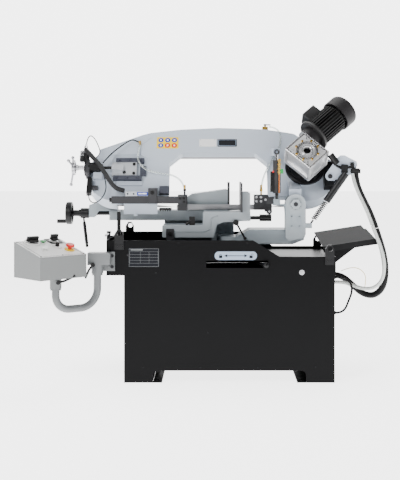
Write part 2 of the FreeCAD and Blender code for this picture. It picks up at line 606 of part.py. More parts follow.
def tension_wheel():
    screw = cyl((-790, 175, 90), X, 8, 186)
    sleeve = cyl((-802, 175, 90), X, 12, 36)
    rim = ring((-832, 175, 90), X, 40, 30, 16)
    hub = cyl((-834, 175, 90), X, 16, 34)
    rods = []
    for k in range(3):
        a = radians(90 + 120 * k + 10)
        way = V(-0.18, cos(a), sin(a)).normalize()
        rods.append(Part.makeCylinder(5, 92, V(-824, 175, 90), way))
        rods.append(Part.makeSphere(9, V(-824, 175, 90) + way * 92))
    return bow_place(fuse(screw, sleeve, rim, hub, *rods))


def tension_bracket():
    bracket = fuse(box(-760, -738, 130, 215, 50, 112), box(-760, -690, 130, 215, 50, PLATE_FRONT))
    body = cyl((-740, 240, 76), Y, 14, 60)
    gauge = fuse(cyl((-760, 205, 90), (0, 1, 0), 14, 62), cyl((-760, 267, 90), (0, 1, 0), 16, 8))
    bracket = fuse(bracket, gauge).cut(cyl((-900, 175, 90), X, 8.1, 300)).cut(cyl((-803, 175, 90), X, 12.4, 37.6))
    return bow_place(bracket)


def limit_switch():
    case = box(-748, -722, 16, 112, 62, 92)
    return bow_place(fuse(case, box(-722, -690, 50, 70, PLATE_FRONT, 78)))


BAR_Y0, BAR_Y1 = -94.0, -62.0


def clamp_block():
    block = box(-420, -376, BAR_Y0 - 8, -14, 886.2, 966)
    return block.cut(box(-430, -370, BAR_Y0 - GAP, BAR_Y1 + GAP, 886 - GAP, 924 + GAP))


def guide_arm():
    bar = box(-612, -224, BAR_Y0, BAR_Y1, 886, 924)
    head = box(-267, -219, BAR_Y1, 26, 848, 930).cut(box(-268, -218, -1.2, 1.2, 840, 884))
    return fuse(bar, head)


def blade_cover():
    skin = box(-547, -372, BAR_Y0, 22, 832, 885.5).cut(box(-548, -371, BAR_Y0 + 4, 18, 820, 881))
    skin = skin.cut(box(-548, -371, -40, 30, 820, 890))
    return fuse(skin, cyl((-486, BAR_Y0, 822), Z, 10, 10), box(-492, -480, BAR_Y0 - 6, BAR_Y0 + 1, 826, 850))


def right_guide():
    head = box(134, 206, -32, 30, 850, 930).cut(box(133, 207, -1.2, 1.2, 840, 884))
    arm = box(206, 240, -32, -8, 880, 932)
    roller = cyl((214, -34, 842), Y, 15, 22)
    hanger = box(190, 228, -32, -14, 842, 882)
    return fuse(head, arm, hanger, roller)


def spring_plate():
    plate = xz_prism([(506, 1042), (560, 1122), (580, 1138), (602, 1138), (664, 1106), (668, 1088), (650, 1044),
                      (590, 1020), (540, 1008)], -108, -98)
    arm = box(524, 552, -99, 30, 1006, 1034)
    return fuse(plate, cyl((525, -108, 1029), Y, 23, 10), arm, cyl((525, -114, 1029), Y, 13, 8))


def hose_clamp():
    arm = xz_prism([(600, 1040), (636, 1046), (640, 1064), (606, 1064)], -98, -30)
    block = box(632, 684, -112, -30, 1044, 1066)
    return fuse(arm, block)


SPRING_FOOT, SPRING_TOP = V(416, -128, 775), V(600, -128, 1037)
SPRING_WAY = (SPRING_TOP - SPRING_FOOT).normalize()


def spring_tube():
    tube = Part.makeCylinder(19, 178, SPRING_FOOT + SPRING_WAY * 152, SPRING_WAY)
    tube = tube.cut(Part.makeCylinder(17.2, 150, SPRING_FOOT + SPRING_WAY * 151, SPRING_WAY))
    return fuse(tube, cyl((SPRING_TOP.x - 4, -128, SPRING_TOP.z - 6), Y, 10, 20))


def spring_hook():
    hole = cyl((SPRING_FOOT.x, -136, SPRING_FOOT.z), Y, 5.05, 20)
    eye = cyl((SPRING_FOOT.x, -135, SPRING_FOOT.z), Y, 11, 14)
    shank = Part.makeCylinder(5, 26, SPRING_FOOT + SPRING_WAY * 9, SPRING_WAY)
    return fuse(eye, shank).cut(hole)


def return_spring():
    return Part.makeCylinder(16.5, 118, SPRING_FOOT + SPRING_WAY * 35, SPRING_WAY)


TAP = V(204, 218, 1297)


def coolant_tap():
    return fuse(box(TAP.x - 16, TAP.x + 16, TAP.y - 12, TAP.y + 12, TAP.z - 24, TAP.z),
                cyl((TAP.x, TAP.y, TAP.z), Z, 5, 6))


def nozzle(x, y):
    """Brass hose tail that stands on a guide head."""
    return fuse(cyl((x, y, 930.1), Z, 5, 20), cyl((x, y, 948), Z, 8, 12))


def right_nozzle():
    return nozzle(172, -10)


def head_brackets():
    return group(fuse(spring_plate(), hose_clamp()), coolant_tap(), right_nozzle())


def tension_group():
    return group(tension_bracket(), limit_switch().cut(tension_bracket()))


keep("bow_frame", bow_frame())
keep("saw_blade", saw_blade())
keep("drive_wheel", group(wheel(DRIVE_X, 20, -WHEEL_W / 2 - 6, 258), worm_wheel()))
keep("idler_wheel", wheel(IDLER_X, 11.95, WHEEL_W / 2, WHEEL_W / 2 + 55))
keep("gearbox", gearbox())
keep("gearbox_bolts", gearbox_bolts())
keep("motor", motor())
keep("fan_cowl", fan_cowl())
keep("motor_rotor", group(worm_shaft(), fan()))
keep("slide_gibs", slide_gibs())
keep("tension_slide", tension_slide())
keep("tension_wheel", tension_wheel())
keep("tension_bracket", tension_group())
keep("arm_clamp_block", clamp_block())
keep("guide_arm", group(guide_arm(), nozzle(-233, -8)))
keep("blade_cover", blade_cover())
keep("right_guide", right_guide())
keep("bow_brackets", head_brackets())
keep("spring_tube", spring_tube())
keep("spring_hook", spring_hook())
keep("return_spring", return_spring())
keep("tap_lever", fuse(cyl((TAP.x, TAP.y, TAP.z + 6.3), Z, 8, 8),
                       box(TAP.x, TAP.x + 30, TAP.y - 5, TAP.y + 5, TAP.z + 7, TAP.z + 13)))


# ---------------------------------------------------------------- control box on its swinging arm
BOX_CORNER, BOX_TURN = V(-884, -645, 550), 44.0
BOX_W, BOX_D, BOX_FRONT_H, BOX_BACK_H = 265.0, 224.0, 110.0, 171.0
PANEL_SLOPE = degrees(atan2(BOX_BACK_H - BOX_FRONT_H, BOX_D))


def box_place(shape):
    placed = shape.copy()
    placed.rotate(V(0, 0, 0), Z, BOX_TURN)
    placed.translate(BOX_CORNER)
    return placed


def on_panel(shape, across, back):
    """Move a shape drawn upright at the origin onto the sloping panel; places are shares of its size."""
    placed = shape.copy()
    placed.rotate(V(0, 0, 0), X, PANEL_SLOPE)
    placed.translate(V(across * BOX_W, back * BOX_D, BOX_FRONT_H + back * (BOX_BACK_H - BOX_FRONT_H)))
    return box_place(placed)


def box_case():
    outline = [(0, 0), (BOX_D, 0), (BOX_D, BOX_BACK_H), (0, BOX_FRONT_H)]
    inner = [(3, 3), (BOX_D - 3, 3), (BOX_D - 3, BOX_BACK_H - 4), (3, BOX_FRONT_H - 4)]
    case = yz_prism(outline, 0, BOX_W).cut(yz_prism(inner, 3, BOX_W - 3))
    placed = box_place(case)
    collar = ring((BOX_PIVOT.x, BOX_PIVOT.y, 494), Z, 28, PIPE_R + 0.1, 56)
    cap = cyl((BOX_PIVOT.x, BOX_PIVOT.y, 546.5), Z, 28, 5)
    return fuse(placed, collar, cap)


CONTROLS = {"estop_button": (0.81, 0.31), "white_button": (0.32, 0.40), "small_selector": (0.66, 0.52),
            "green_button": (0.51, 0.80), "main_switch": (0.30, 0.84), "mode_selector": (0.78, 0.86)}


def panel_bases():
    """Bezels and plates that stay on the panel, with a hole for each moving stem."""
    sizes = {"estop_button": 25, "white_button": 15, "small_selector": 16, "green_button": 15, "main_switch": 22,
             "mode_selector": 24}
    rings = [on_panel(ring((0, 0, 0.1), Z, r, 8.5, 5), *CONTROLS[name]) for name, r in sizes.items()]
    return group(*rings)


def mushroom():
    return fuse(cyl((0, 0, -8), Z, 8, 26), cyl((0, 0, 18), Z, 20, 12))


def push_button():
    return cyl((0, 0, -6), Z, 8, 18)


def selector(size):
    return fuse(cyl((0, 0, -6), Z, 8, 12.5), cyl((0, 0, 6.5), Z, size, 5),
                box(-size * 0.3, size * 0.3, -size, size, 11, 24))


def control_arm():
    route = [V(BOX_PIVOT.x, BOX_PIVOT.y, 546), V(BOX_PIVOT.x, BOX_PIVOT.y, 389), V(ARM_PIVOT.x, ARM_PIVOT.y, 389),
             V(ARM_PIVOT.x, ARM_PIVOT.y, 593)]
    wire, _ = tube_path(route)
    profiles = [Part.Wire([Part.makeCircle(r, route[0], V(0, 0, -1))]) for r in (PIPE_R, PIPE_R - PIPE_WALL)]
    outer, inner = [wire.makePipeShell([p], True, False) for p in profiles]
    x, y = BOX_PIVOT.x, BOX_PIVOT.y
    stop = ring((x, y, 486), Z, 26, PIPE_R, 7.6)
    return fuse(outer.cut(inner), stop, ring((ARM_PIVOT.x, ARM_PIVOT.y, 545), Z, 26, PIPE_R, 9.6))


def arm_bracket():
    x, y = ARM_PIVOT.x, ARM_PIVOT.y
    block = fuse(box(-700, -590, y - 30, -TRAY_HALF_D - 0.1, 597, 656),
                 box(-630, -572, y + 38, -TRAY_HALF_D, 560, 656))
    collar = ring((x, y, 555), Z, 29, PIPE_R + 0.1, 43)
    bolts = [hex_bolt((-600, y + 38, z), (0, -1, 0), 13, 7) for z in (578,)]
    return fuse(block, collar, *bolts).cut(cyl((x, y, 500), Z, PIPE_R + 0.1, 93.5))


def bar_stop():
    post = box(-586, -568, -60, -40, TRAY_FLOOR, 843)
    arm = box(-640, -568, -60, -40, 700, 716)
    rod_holder = box(-640, -622, -64, -36, 690, 740).cut(cyl((-631, -200, 728), Y, 6.05, 300))
    return fuse(post, arm, rod_holder)


def outlet_chute():
    floor = fuse(box(0, 262, 0, 400, 0, 4), box(0, 292, -4, 0, -27, 4), box(262, 292, 0, 400, -24, -20),
                 box(262, 266, 0, 400, -24, 4))
    floor.rotate(V(0, 0, 0), X, 6.5)
    floor.rotate(V(0, 0, 0), Y, -8.8)
    floor.translate(V(490, -100, 659))
    legs = [xz_prism([(TRAY_RIGHT, 575), (TRAY_RIGHT + 30, 575), (700, top + 10), (700, top + 27), (TRAY_RIGHT, top)],
                     y, y + 8) for y, top in ((-50, 671), (160, 695))]
    return fuse(floor, box(TRAY_RIGHT, TRAY_RIGHT + 6, -60, 180, 560, 640), *legs)


GLAND_X = CABINET_HALF_W
GLANDS = ((0.0, 505.0, 21.0), (-110.0, 480.0, 14.0), (-170.0, 512.0, 9.0), (-170.0, 330.0, 9.0))


def side_glands():
    bodies = []
    for y, z, r in GLANDS:
        bodies.append(fuse(hex_bolt((GLAND_X, y, z), (1, 0, 0), 2.6 * r, 8), cyl((GLAND_X + 8, y, z), X, r, 12)))
    return group(*bodies)


PARTS["control_arm"] = control_arm()
keep("control_box", box_case())
keep("panel_bezels", panel_bases())
keep("estop_button", on_panel(mushroom(), *CONTROLS["estop_button"]))
keep("green_button", on_panel(push_button(), *CONTROLS["green_button"]))
keep("white_button", on_panel(push_button(), *CONTROLS["white_button"]))
keep("main_switch", on_panel(selector(15), *CONTROLS["main_switch"]))
keep("mode_selector", on_panel(selector(12), *CONTROLS["mode_selector"]))
keep("small_selector", on_panel(selector(10), *CONTROLS["small_selector"]))
keep("arm_bracket", arm_bracket())
keep("bar_stop", bar_stop())
keep("stop_rod", cyl((-631, -190, 728), Y, 6, 220))
keep("outlet_chute", outlet_chute())
keep("side_glands", side_glands())
for name, across, back in [(n, *p) for n, p in CONTROLS.items()]:
    hole = on_panel(cyl((0, 0, -20), Z, 8.4, 40), across, back)
    PARTS["control_box"] = PARTS["control_box"].cut(hole)

# ---------------------------------------------------------------- cords: routes of points
CONDUIT_UPPER = [(664, -60, 1044), (668, -66, 1000), (684, -84, 946), (712, -106, 884), (740, -122, 822),
                 (760, -130, 760)]
CONDUIT_LOWER = [(760.7, -130.2, 757.5), (782, -132, 694), (800, -130, 630), (812, -118, 564), (814, -98, 496),
                 (800, -74, 436), (760, -52, 400), (708, -36, 408), (662, -24, 446), (618, -12, 488), (578, 0, 505),
                 (547, 0, 505)]
HOSE_UPPER = [(644, -90, 1044), (650, -98, 1004), (668, -118, 950), (692, -140, 894), (716, -156, 838),
              (736, -162, 780)]
HOSE_LOWER = [(736.8, -162.2, 777.5), (758, -166, 722), (780, -168, 664), (796, -168, 602), (798, -164, 540),
              (784, -152, 484), (744, -138, 450), (694, -128, 448), (646, -118, 462), (596, -110, 480),
              (547, -110, 480)]
MAINS_LEAD = [(547, -170, 512), (580, -170, 512), (612, -172, 500), (630, -176, 468), (628, -178, 430),
              (612, -178, 392), (598, -174, 352), (572, -170, 330), (547, -170, 330)]
keep("conduit_upper", cord("conduit_upper", CONDUIT_UPPER, 34))
keep("conduit_lower", cord("conduit_lower", CONDUIT_LOWER, 34))
keep("hose_upper", cord("hose_upper", HOSE_UPPER, 18))
keep("hose_lower", cord("hose_lower", HOSE_LOWER, 18))
keep("mains_lead", cord("mains_lead", MAINS_LEAD, 11))

# ---------------------------------------------------------------- trim neighbours on one body, then write
TRIMS = [("gearbox", "bow_frame"), ("saw_blade", "bow_frame"), ("tension_bracket", "bow_frame"),
         ("slide_gibs", "bow_frame"), ("arm_clamp_block", "bow_frame"), ("right_guide", "bow_frame"), ("bow_brackets", "bow_frame"),
         ("spring_tube", "bow_brackets"), ("conduit_upper", "bow_brackets"), ("hose_upper", "bow_brackets"),
         ("gearbox_bolts", "gearbox"), ("motor", "gearbox"), ("blade_cover", "guide_arm"), ("fixed_jaw", "vise_bed"),
         ("screw_housing", "vise_bed"),
         ("bar_stop", "chip_tray"), ("arm_bracket", "chip_tray"), ("coolant_tank", "coolant_pump"),
         ("coolant_tank", "cabinet"), ("chip_tray", "cabinet"), ("outlet_chute", "chip_tray"), ("side_glands", "cabinet"),
         ("vise_bed", "chip_tray"), ("panel_bezels", "control_box"),
         ("bow_brackets", "gearbox_bolts"), ("outlet_chute", "side_glands")]
for trimmed, tool in TRIMS:
    PARTS[trimmed] = PARTS[trimmed].cut(PARTS[tool])
for name, shape in PARTS.items():
    bounds = shape.BoundBox
    print("%-18s solids %d valid %s  x %.0f %.0f y %.0f %.0f z %.0f %.0f"
          % (name, len(shape.Solids), shape.isValid(), bounds.XMin, bounds.XMax, bounds.YMin, bounds.YMax,
             bounds.ZMin, bounds.ZMax))
    shape.exportStep("parts/%s.step" % name)
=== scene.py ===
"""Looks for the mitring band saw: materials, labels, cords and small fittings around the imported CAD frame.

Metres, in the CAD frame: +X to the operator's right, +Y away from the operator, +Z up.
"""
from math import atan2, cos, pi, radians, sin

import bmesh
import bpy
from mathutils import Matrix, Vector


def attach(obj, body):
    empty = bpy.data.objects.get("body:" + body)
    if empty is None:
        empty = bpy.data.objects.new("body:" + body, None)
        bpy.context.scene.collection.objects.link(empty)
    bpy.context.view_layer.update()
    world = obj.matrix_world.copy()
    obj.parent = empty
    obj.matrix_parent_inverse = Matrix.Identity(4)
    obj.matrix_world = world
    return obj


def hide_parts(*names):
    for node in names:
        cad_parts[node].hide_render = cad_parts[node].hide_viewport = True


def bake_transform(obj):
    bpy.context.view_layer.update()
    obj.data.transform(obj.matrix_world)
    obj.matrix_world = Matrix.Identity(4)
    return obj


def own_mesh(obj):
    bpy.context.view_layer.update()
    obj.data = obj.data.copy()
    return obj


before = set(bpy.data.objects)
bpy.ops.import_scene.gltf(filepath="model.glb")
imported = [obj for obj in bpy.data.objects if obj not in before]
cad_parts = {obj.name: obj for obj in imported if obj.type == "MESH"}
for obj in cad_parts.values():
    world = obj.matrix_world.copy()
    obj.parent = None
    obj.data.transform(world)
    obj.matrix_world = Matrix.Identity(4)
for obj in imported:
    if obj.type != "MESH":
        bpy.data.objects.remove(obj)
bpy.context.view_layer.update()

# ---- places repeated from the CAD ----
LEAN = radians(34)
BLADE_LINE_Z = 0.877
DRIVE_X, HUB_U = 0.402, 0.150
PLATE_FRONT = 0.060
TRAY_FRONT_Y = -0.303
BOX_CORNER, BOX_TURN = Vector((-0.884, -0.645, 0.550)), radians(44)
BOX_W, BOX_D, BOX_FRONT_H, BOX_BACK_H = 0.265, 0.224, 0.110, 0.171
SPRING_FOOT, SPRING_TOP = Vector((0.416, -0.128, 0.775)), Vector((0.600, -0.128, 1.037))
GEARBOX_FACE = 0.2901
# each control's place on the sloping panel, as shares of its width and depth
PANEL_PLACES = {"estop": (0.81, 0.31), "white": (0.32, 0.40), "small_sw": (0.66, 0.52), "green": (0.51, 0.80),
                "main_sw": (0.30, 0.84), "mode_sw": (0.78, 0.86)}
# centres of the labels: x and u on the bow, x and z on the tray's front
STICKER, LIGHT_PLATE, DARK_PLATE = (-0.331, 0.357), (-0.112, 0.357), (-0.006, 0.357)
LOCK_LABEL, DATA_PLATE = (0.032, 0.6355), (-0.4275, 0.626)


def bow_matrix(x, u, n):
    """Frame in the leaning wheel plane: x along the blade, y up the plane, z out to the operator."""
    up, out = Vector((0, sin(LEAN), cos(LEAN))), Vector((0, -cos(LEAN), sin(LEAN)))
    place = Vector((0, 0, BLADE_LINE_Z)) + Vector((x, 0, 0)) + up * u + out * n
    turn = Matrix((Vector((1, 0, 0)), up, out)).transposed().to_4x4()
    return Matrix.Translation(place) @ turn


def panel_matrix(across, back):
    """Frame on the control box's sloping panel, z out of it; the two places are shares of its size."""
    slope = atan2(BOX_BACK_H - BOX_FRONT_H, BOX_D)
    height = BOX_FRONT_H + back * (BOX_BACK_H - BOX_FRONT_H)
    local = Matrix.Translation((across * BOX_W, back * BOX_D, height)) @ Matrix.Rotation(slope, 4, "X")
    return Matrix.Translation(BOX_CORNER) @ Matrix.Rotation(BOX_TURN, 4, "Z") @ local


def front_matrix(x, y, z):
    """Frame on an upright face that looks at the operator: x right, y up, z out."""
    return Matrix.Translation((x, y, z)) @ Matrix.Rotation(pi / 2, 4, "X")


# ---------------------------------------------------------------- materials
def material(name, color, rough, metallic=0.0, grain=0.0, grain_scale=300.0, stretch=(1, 1, 1), mottle=0.06,
             clear=0.0, blotch=6.0, wear=0.0, wear_color=(0.5, 0.5, 0.5), shine=0.4):
    """Procedural finish: fine bump, broad colour mottling, roughness variation and worn edges."""
    mat = bpy.data.materials.new(name)
    mat.use_nodes = True
    nodes, links = mat.node_tree.nodes, mat.node_tree.links
    shader = nodes["Principled BSDF"]
    shader.inputs["Metallic"].default_value = metallic
    shader.inputs["Specular IOR Level"].default_value = shine
    shader.inputs["Coat Weight"].default_value = clear
    shader.inputs["Coat Roughness"].default_value = 0.15
    coords = nodes.new("ShaderNodeTexCoord")
    mapping = nodes.new("ShaderNodeMapping")
    mapping.inputs["Scale"].default_value = stretch
    links.new(coords.outputs["Object"], mapping.inputs["Vector"])
    broad = nodes.new("ShaderNodeTexNoise")
    broad.inputs["Scale"].default_value = blotch
    broad.inputs["Detail"].default_value = 6
    links.new(mapping.outputs["Vector"], broad.inputs["Vector"])
    ramp = nodes.new("ShaderNodeMixRGB")
    ramp.inputs[1].default_value = [max(0, c * (1 - mottle)) for c in color] + [1]
    ramp.inputs[2].default_value = [min(1, c * (1 + mottle)) for c in color] + [1]
    links.new(broad.outputs["Fac"], ramp.inputs[0])
    last = ramp.outputs[0]
    if wear:
        geometry = nodes.new("ShaderNodeNewGeometry")
        edge = nodes.new("ShaderNodeMapRange")
        edge.inputs[1].default_value, edge.inputs[2].default_value = 0.53, 0.60
        edge.inputs[4].default_value = wear
        links.new(geometry.outputs["Pointiness"], edge.inputs[0])
        worn = nodes.new("ShaderNodeMixRGB")
        worn.inputs[2].default_value = list(wear_color) + [1]
        links.new(edge.outputs[0], worn.inputs[0])
        links.new(last, worn.inputs[1])
        last = worn.outputs[0]
    links.new(last, shader.inputs["Base Color"])
    fine = nodes.new("ShaderNodeTexNoise")
    fine.inputs["Scale"].default_value = grain_scale
    fine.inputs["Detail"].default_value = 4
    links.new(mapping.outputs["Vector"], fine.inputs["Vector"])
    spread = nodes.new("ShaderNodeMapRange")
    spread.inputs[3].default_value, spread.inputs[4].default_value = max(0.02, rough - 0.08), rough + 0.08
    links.new(fine.outputs["Fac"], spread.inputs[0])
    links.new(spread.outputs[0], shader.inputs["Roughness"])
    if grain:
        bump = nodes.new("ShaderNodeBump")
        bump.inputs["Strength"].default_value = grain
        bump.inputs["Distance"].default_value = 0.001
        links.new(fine.outputs["Fac"], bump.inputs["Height"])
        links.new(bump.outputs["Normal"], shader.inputs["Normal"])
    return mat


def clear_plastic(name, color, rough=0.12):
    mat = material(name, color, rough)
    mat.node_tree.nodes["Principled BSDF"].inputs["Transmission Weight"].default_value = 0.75
    return mat


def braid(name, color):
    """Woven sleeve: a fine cell pattern gives the braid's bump."""
    mat = material(name, color, 0.65)
    nodes, links = mat.node_tree.nodes, mat.node_tree.links
    shader = nodes["Principled BSDF"]
    cells = nodes.new("ShaderNodeTexVoronoi")
    cells.inputs["Scale"].default_value = 420
    bump = nodes.new("ShaderNodeBump")
    bump.inputs["Strength"].default_value = 0.7
    bump.inputs["Distance"].default_value = 0.001
    links.new(cells.outputs["Distance"], bump.inputs["Height"])
    links.new(bump.outputs["Normal"], shader.inputs["Normal"])
    return mat


MATS = {
    "cabinet_black": material("cabinet_black", (0.0012, 0.0012, 0.0016), 0.40, grain=0.06, grain_scale=900,
                              mottle=0.25, shine=0.10),
    "bow_grey": material("bow_grey", (0.43, 0.485, 0.565), 0.38, grain=0.10, grain_scale=260, mottle=0.025,
                         clear=0.1, wear=0.12, wear_color=(0.75, 0.78, 0.8)),
    "base_grey": material("base_grey", (0.24, 0.28, 0.31), 0.45, grain=0.22, grain_scale=240, mottle=0.05,
                          wear=0.2, wear_color=(0.6, 0.62, 0.62)),
    "box_grey": material("box_grey", (0.165, 0.172, 0.172), 0.5, grain=0.16, grain_scale=1100, mottle=0.03),
    "pipe_grey": material("pipe_grey", (0.135, 0.142, 0.146), 0.36, grain=0.1, grain_scale=700, mottle=0.05),
    "panel_white": material("panel_white", (0.78, 0.78, 0.77), 0.4, grain=0.05, grain_scale=800, mottle=0.02),
    "steel": material("steel", (0.42, 0.42, 0.44), 0.28, metallic=1.0, grain=0.12, grain_scale=500,
                      stretch=(1, 1, 6), mottle=0.1),
    "blade_steel": material("blade_steel", (0.24, 0.24, 0.25), 0.32, metallic=1.0, grain=0.2, grain_scale=350,
                            stretch=(0.1, 1, 8), mottle=0.25),
    "chrome": material("chrome", (0.72, 0.72, 0.74), 0.08, metallic=1.0, grain=0.02, mottle=0.03),
    "cast_alloy": material("cast_alloy", (0.62, 0.62, 0.63), 0.30, metallic=0.8, grain=0.5, grain_scale=330,
                           mottle=0.22, blotch=22, wear=0.8, wear_color=(0.95, 0.95, 0.95)),
    "motor_black": material("motor_black", (0.0035, 0.0033, 0.0036), 0.4, grain=0.2, grain_scale=420,
                            mottle=0.3, wear=0.12, wear_color=(0.22, 0.22, 0.22), shine=0.25),
    "cowl_grey": material("cowl_grey", (0.014, 0.013, 0.014), 0.45, grain=0.1, grain_scale=700, mottle=0.15,
                          shine=0.22),
    "dark_iron": material("dark_iron", (0.011, 0.011, 0.013), 0.42, grain=0.22, grain_scale=420,
                          mottle=0.25, wear=0.2, wear_color=(0.14, 0.14, 0.15), shine=0.22),
    "slate": material("slate", (0.050, 0.054, 0.072), 0.38, grain=0.15, grain_scale=500, mottle=0.12,
                      shine=0.3),
    "machined": material("machined", (0.52, 0.54, 0.57), 0.3, metallic=0.4, grain=0.15, grain_scale=380,
                         stretch=(8, 1, 1), mottle=0.06),
    "black_paint": material("black_paint", (0.0040, 0.0040, 0.0048), 0.36, grain=0.10, grain_scale=600,
                            mottle=0.2, shine=0.25),
    "chute_grey": material("chute_grey", (0.010, 0.0102, 0.011), 0.6, grain=0.1, grain_scale=500, mottle=0.12,
                           shine=0.08),
    "black_plastic": material("black_plastic", (0.0035, 0.0035, 0.0038), 0.38, grain=0.15, grain_scale=900,
                              mottle=0.2, shine=0.25),
    "red_plastic": material("red_plastic", (0.62, 0.006, 0.004), 0.3, grain=0.03, mottle=0.04),
    "green_plastic": material("green_plastic", (0.003, 0.26, 0.05), 0.3, grain=0.03, mottle=0.04),
    "white_plastic": material("white_plastic", (0.80, 0.80, 0.78), 0.25, grain=0.03, mottle=0.02, clear=0.3),
    "yellow_plastic": material("yellow_plastic", (0.90, 0.60, 0.01), 0.4, grain=0.04, mottle=0.03, shine=0.2),
    "blue_ink": material("blue_ink", (0.004, 0.035, 0.36), 0.5, mottle=0.03, shine=0.15),
    "label_blue": material("label_blue", (0.30, 0.37, 0.47), 0.45, mottle=0.02, shine=0.2),
    "ink": material("ink", (0.004, 0.005, 0.008), 0.5, mottle=0.1, shine=0.15),
    "brass": material("brass", (0.66, 0.42, 0.10), 0.25, metallic=1.0, grain=0.08, grain_scale=500,
                      mottle=0.1),
    "copper": material("copper", (0.66, 0.22, 0.08), 0.25, metallic=1.0, grain=0.08, mottle=0.1),
    "rubber": material("rubber", (0.0045, 0.0045, 0.005), 0.5, grain=0.25, grain_scale=700, mottle=0.2,
                       shine=0.2),
    "hose_white": material("hose_white", (0.56, 0.58, 0.56), 0.3, grain=0.05, mottle=0.05, clear=0.2),
    "clear_hose": clear_plastic("clear_hose", (0.78, 0.84, 0.82)),
    "braid": braid("braid", (0.010, 0.010, 0.011)),
}

NODE_LOOKS = {
    "cabinet_black": "cabinet chip_tray coolant_tank",
    "black_paint": "lifting_lugs jaw_rapid_lever bar_stop mitre_lock_lever vise_handwheel spring_tube"
                   " spring_hook",
    "chute_grey": "outlet_chute panel_fasteners",
    "steel": "stop_rod tension_wheel motor_rotor",
    "chrome": "feed_rod",
    "slate": "slide_gibs",
    "machined": "tension_slide",
    "base_grey": "swivel_base fixed_jaw vise_bed moving_jaw screw_housing",
    "bow_grey": "bow_frame bow_brackets blade_cover",
    "box_grey": "control_box",
    "pipe_grey": "control_arm arm_bracket",
    "blade_steel": "saw_blade",
    "cast_alloy": "gearbox",
    "brass": "gearbox_bolts",
    "motor_black": "motor coolant_pump feed_cylinder",
    "cowl_grey": "fan_cowl",
    "dark_iron": "arm_clamp_block guide_arm right_guide drive_wheel idler_wheel tension_bracket",
    "black_plastic": "crank_grip vise_lock_lever mitre_knob tap_lever main_switch mode_selector"
                     " small_selector side_glands",
    "red_plastic": "estop_button",
    "green_plastic": "green_button",
    "white_plastic": "white_button panel_bezels",
}


def dress_frame():
    """Give every CAD node its finish."""
    for look, names in NODE_LOOKS.items():
        for name in names.split():
            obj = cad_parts[name]
            obj.data.materials.clear()
            obj.data.materials.append(MATS[look])


# ---------------------------------------------------------------- mesh helpers
def piece(name, bm, look, body, bevel=0.0, smooth=True):
    """Finish a mesh: its look, its rounded edges and the body that it rides."""
    mesh = bpy.data.meshes.new(name)
    bmesh.ops.recalc_face_normals(bm, faces=bm.faces)
    bm.to_mesh(mesh)
    bm.free()
    obj = bpy.data.objects.new(name, mesh)
    bpy.context.collection.objects.link(obj)
    mesh.materials.append(MATS[look])
    if smooth:
        mesh.shade_smooth()
        mesh.set_sharp_from_angle(angle=radians(35))
    if bevel:
        soft = obj.modifiers.new("bevel", "BEVEL")
        soft.width, soft.segments, soft.limit_method = bevel, 2, "ANGLE"
        soft.harden_normals = True
    if body:
        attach(obj, body)
    return obj


def add_box(bm, size, matrix):
    """Box whose base centre sits at the matrix's origin and which stands out along its z."""
    made = bmesh.ops.create_cube(bm, size=1)
    scale = Matrix.Translation((0, 0, size[2] / 2)) @ Matrix.Diagonal((*size, 1))
    bmesh.ops.transform(bm, matrix=matrix @ scale, verts=made["verts"])


def add_cyl(bm, r, high, matrix, sides=32, r_top=None):
    top = r if r_top is None else r_top
    made = bmesh.ops.create_cone(bm, cap_ends=True, segments=sides, radius1=r, radius2=top, depth=high)
    bmesh.ops.transform(bm, matrix=matrix @ Matrix.Translation((0, 0, high / 2)), verts=made["verts"])


def add_ball(bm, r, matrix):
    made = bmesh.ops.create_uvsphere(bm, u_segments=24, v_segments=12, radius=r)
    bmesh.ops.transform(bm, matrix=matrix, verts=made["verts"])


def add_outline(bm, points, high, matrix):
    """Flat outline of (x, y) points pushed out along z."""
    ring = [bm.verts.new((x, y, 0)) for x, y in points]
    face = bm.faces.new(ring)
    pushed = bmesh.ops.extrude_face_region(bm, geom=[face])
    top = [v for v in pushed["geom"] if isinstance(v, bmesh.types.BMVert)]
    bmesh.ops.translate(bm, vec=(0, 0, high), verts=top)
    bmesh.ops.transform(bm, matrix=matrix, verts=ring + top)


def add_ring(bm, r_out, r_in, high, matrix, sides=32):
    """Tube standing along the matrix's z."""
    loops = []
    for r, z in ((r_out, 0), (r_out, high), (r_in, high), (r_in, 0)):
        angles = [2 * pi * k / sides for k in range(sides)]
        loops.append([bm.verts.new(matrix @ Vector((r * cos(a), r * sin(a), z))) for a in angles])
    join_loops(bm, loops + loops[:1])


def join_loops(bm, loops):
    """Skin of faces from each closed loop of points to the next."""
    for a, b in zip(loops, loops[1:]):
        for k in range(len(a)):
            after = (k + 1) % len(a)
            bm.faces.new((a[k], a[after], b[after], b[k]))


def close_ends(bm, loops):
    """Flat faces on the first and the last loop."""
    bm.faces.new(reversed(loops[0]))
    bm.faces.new(loops[-1])


def add_socket_head(bm, r, high, matrix):
    """Cap screw with a hexagon recess."""
    add_ring(bm, r, r * 0.5, high, matrix, 24)
    add_cyl(bm, r * 0.55, high * 0.4, matrix, 6)


def x_axis(x, u, n):
    """Bow-plane frame turned so that its z runs along the blade."""
    return bow_matrix(x, u, n) @ Matrix.Rotation(pi / 2, 4, "Y")


def along(start, end):
    """Matrix at start whose z points to end."""
    way = Vector(end) - Vector(start)
    return Matrix.Translation(start) @ way.to_track_quat("Z", "Y").to_matrix().to_4x4()


def rounded(w, h, r, steps=6):
    """Corner points of a rounded rectangle centred on the origin."""
    points = []
    for k, (sx, sy) in enumerate(((1, 1), (-1, 1), (-1, -1), (1, -1))):
        for s in range(steps + 1):
            a = (k + s / steps) * pi / 2
            points.append((sx * (w / 2 - r) + r * cos(a), sy * (h / 2 - r) + r * sin(a)))
    return points


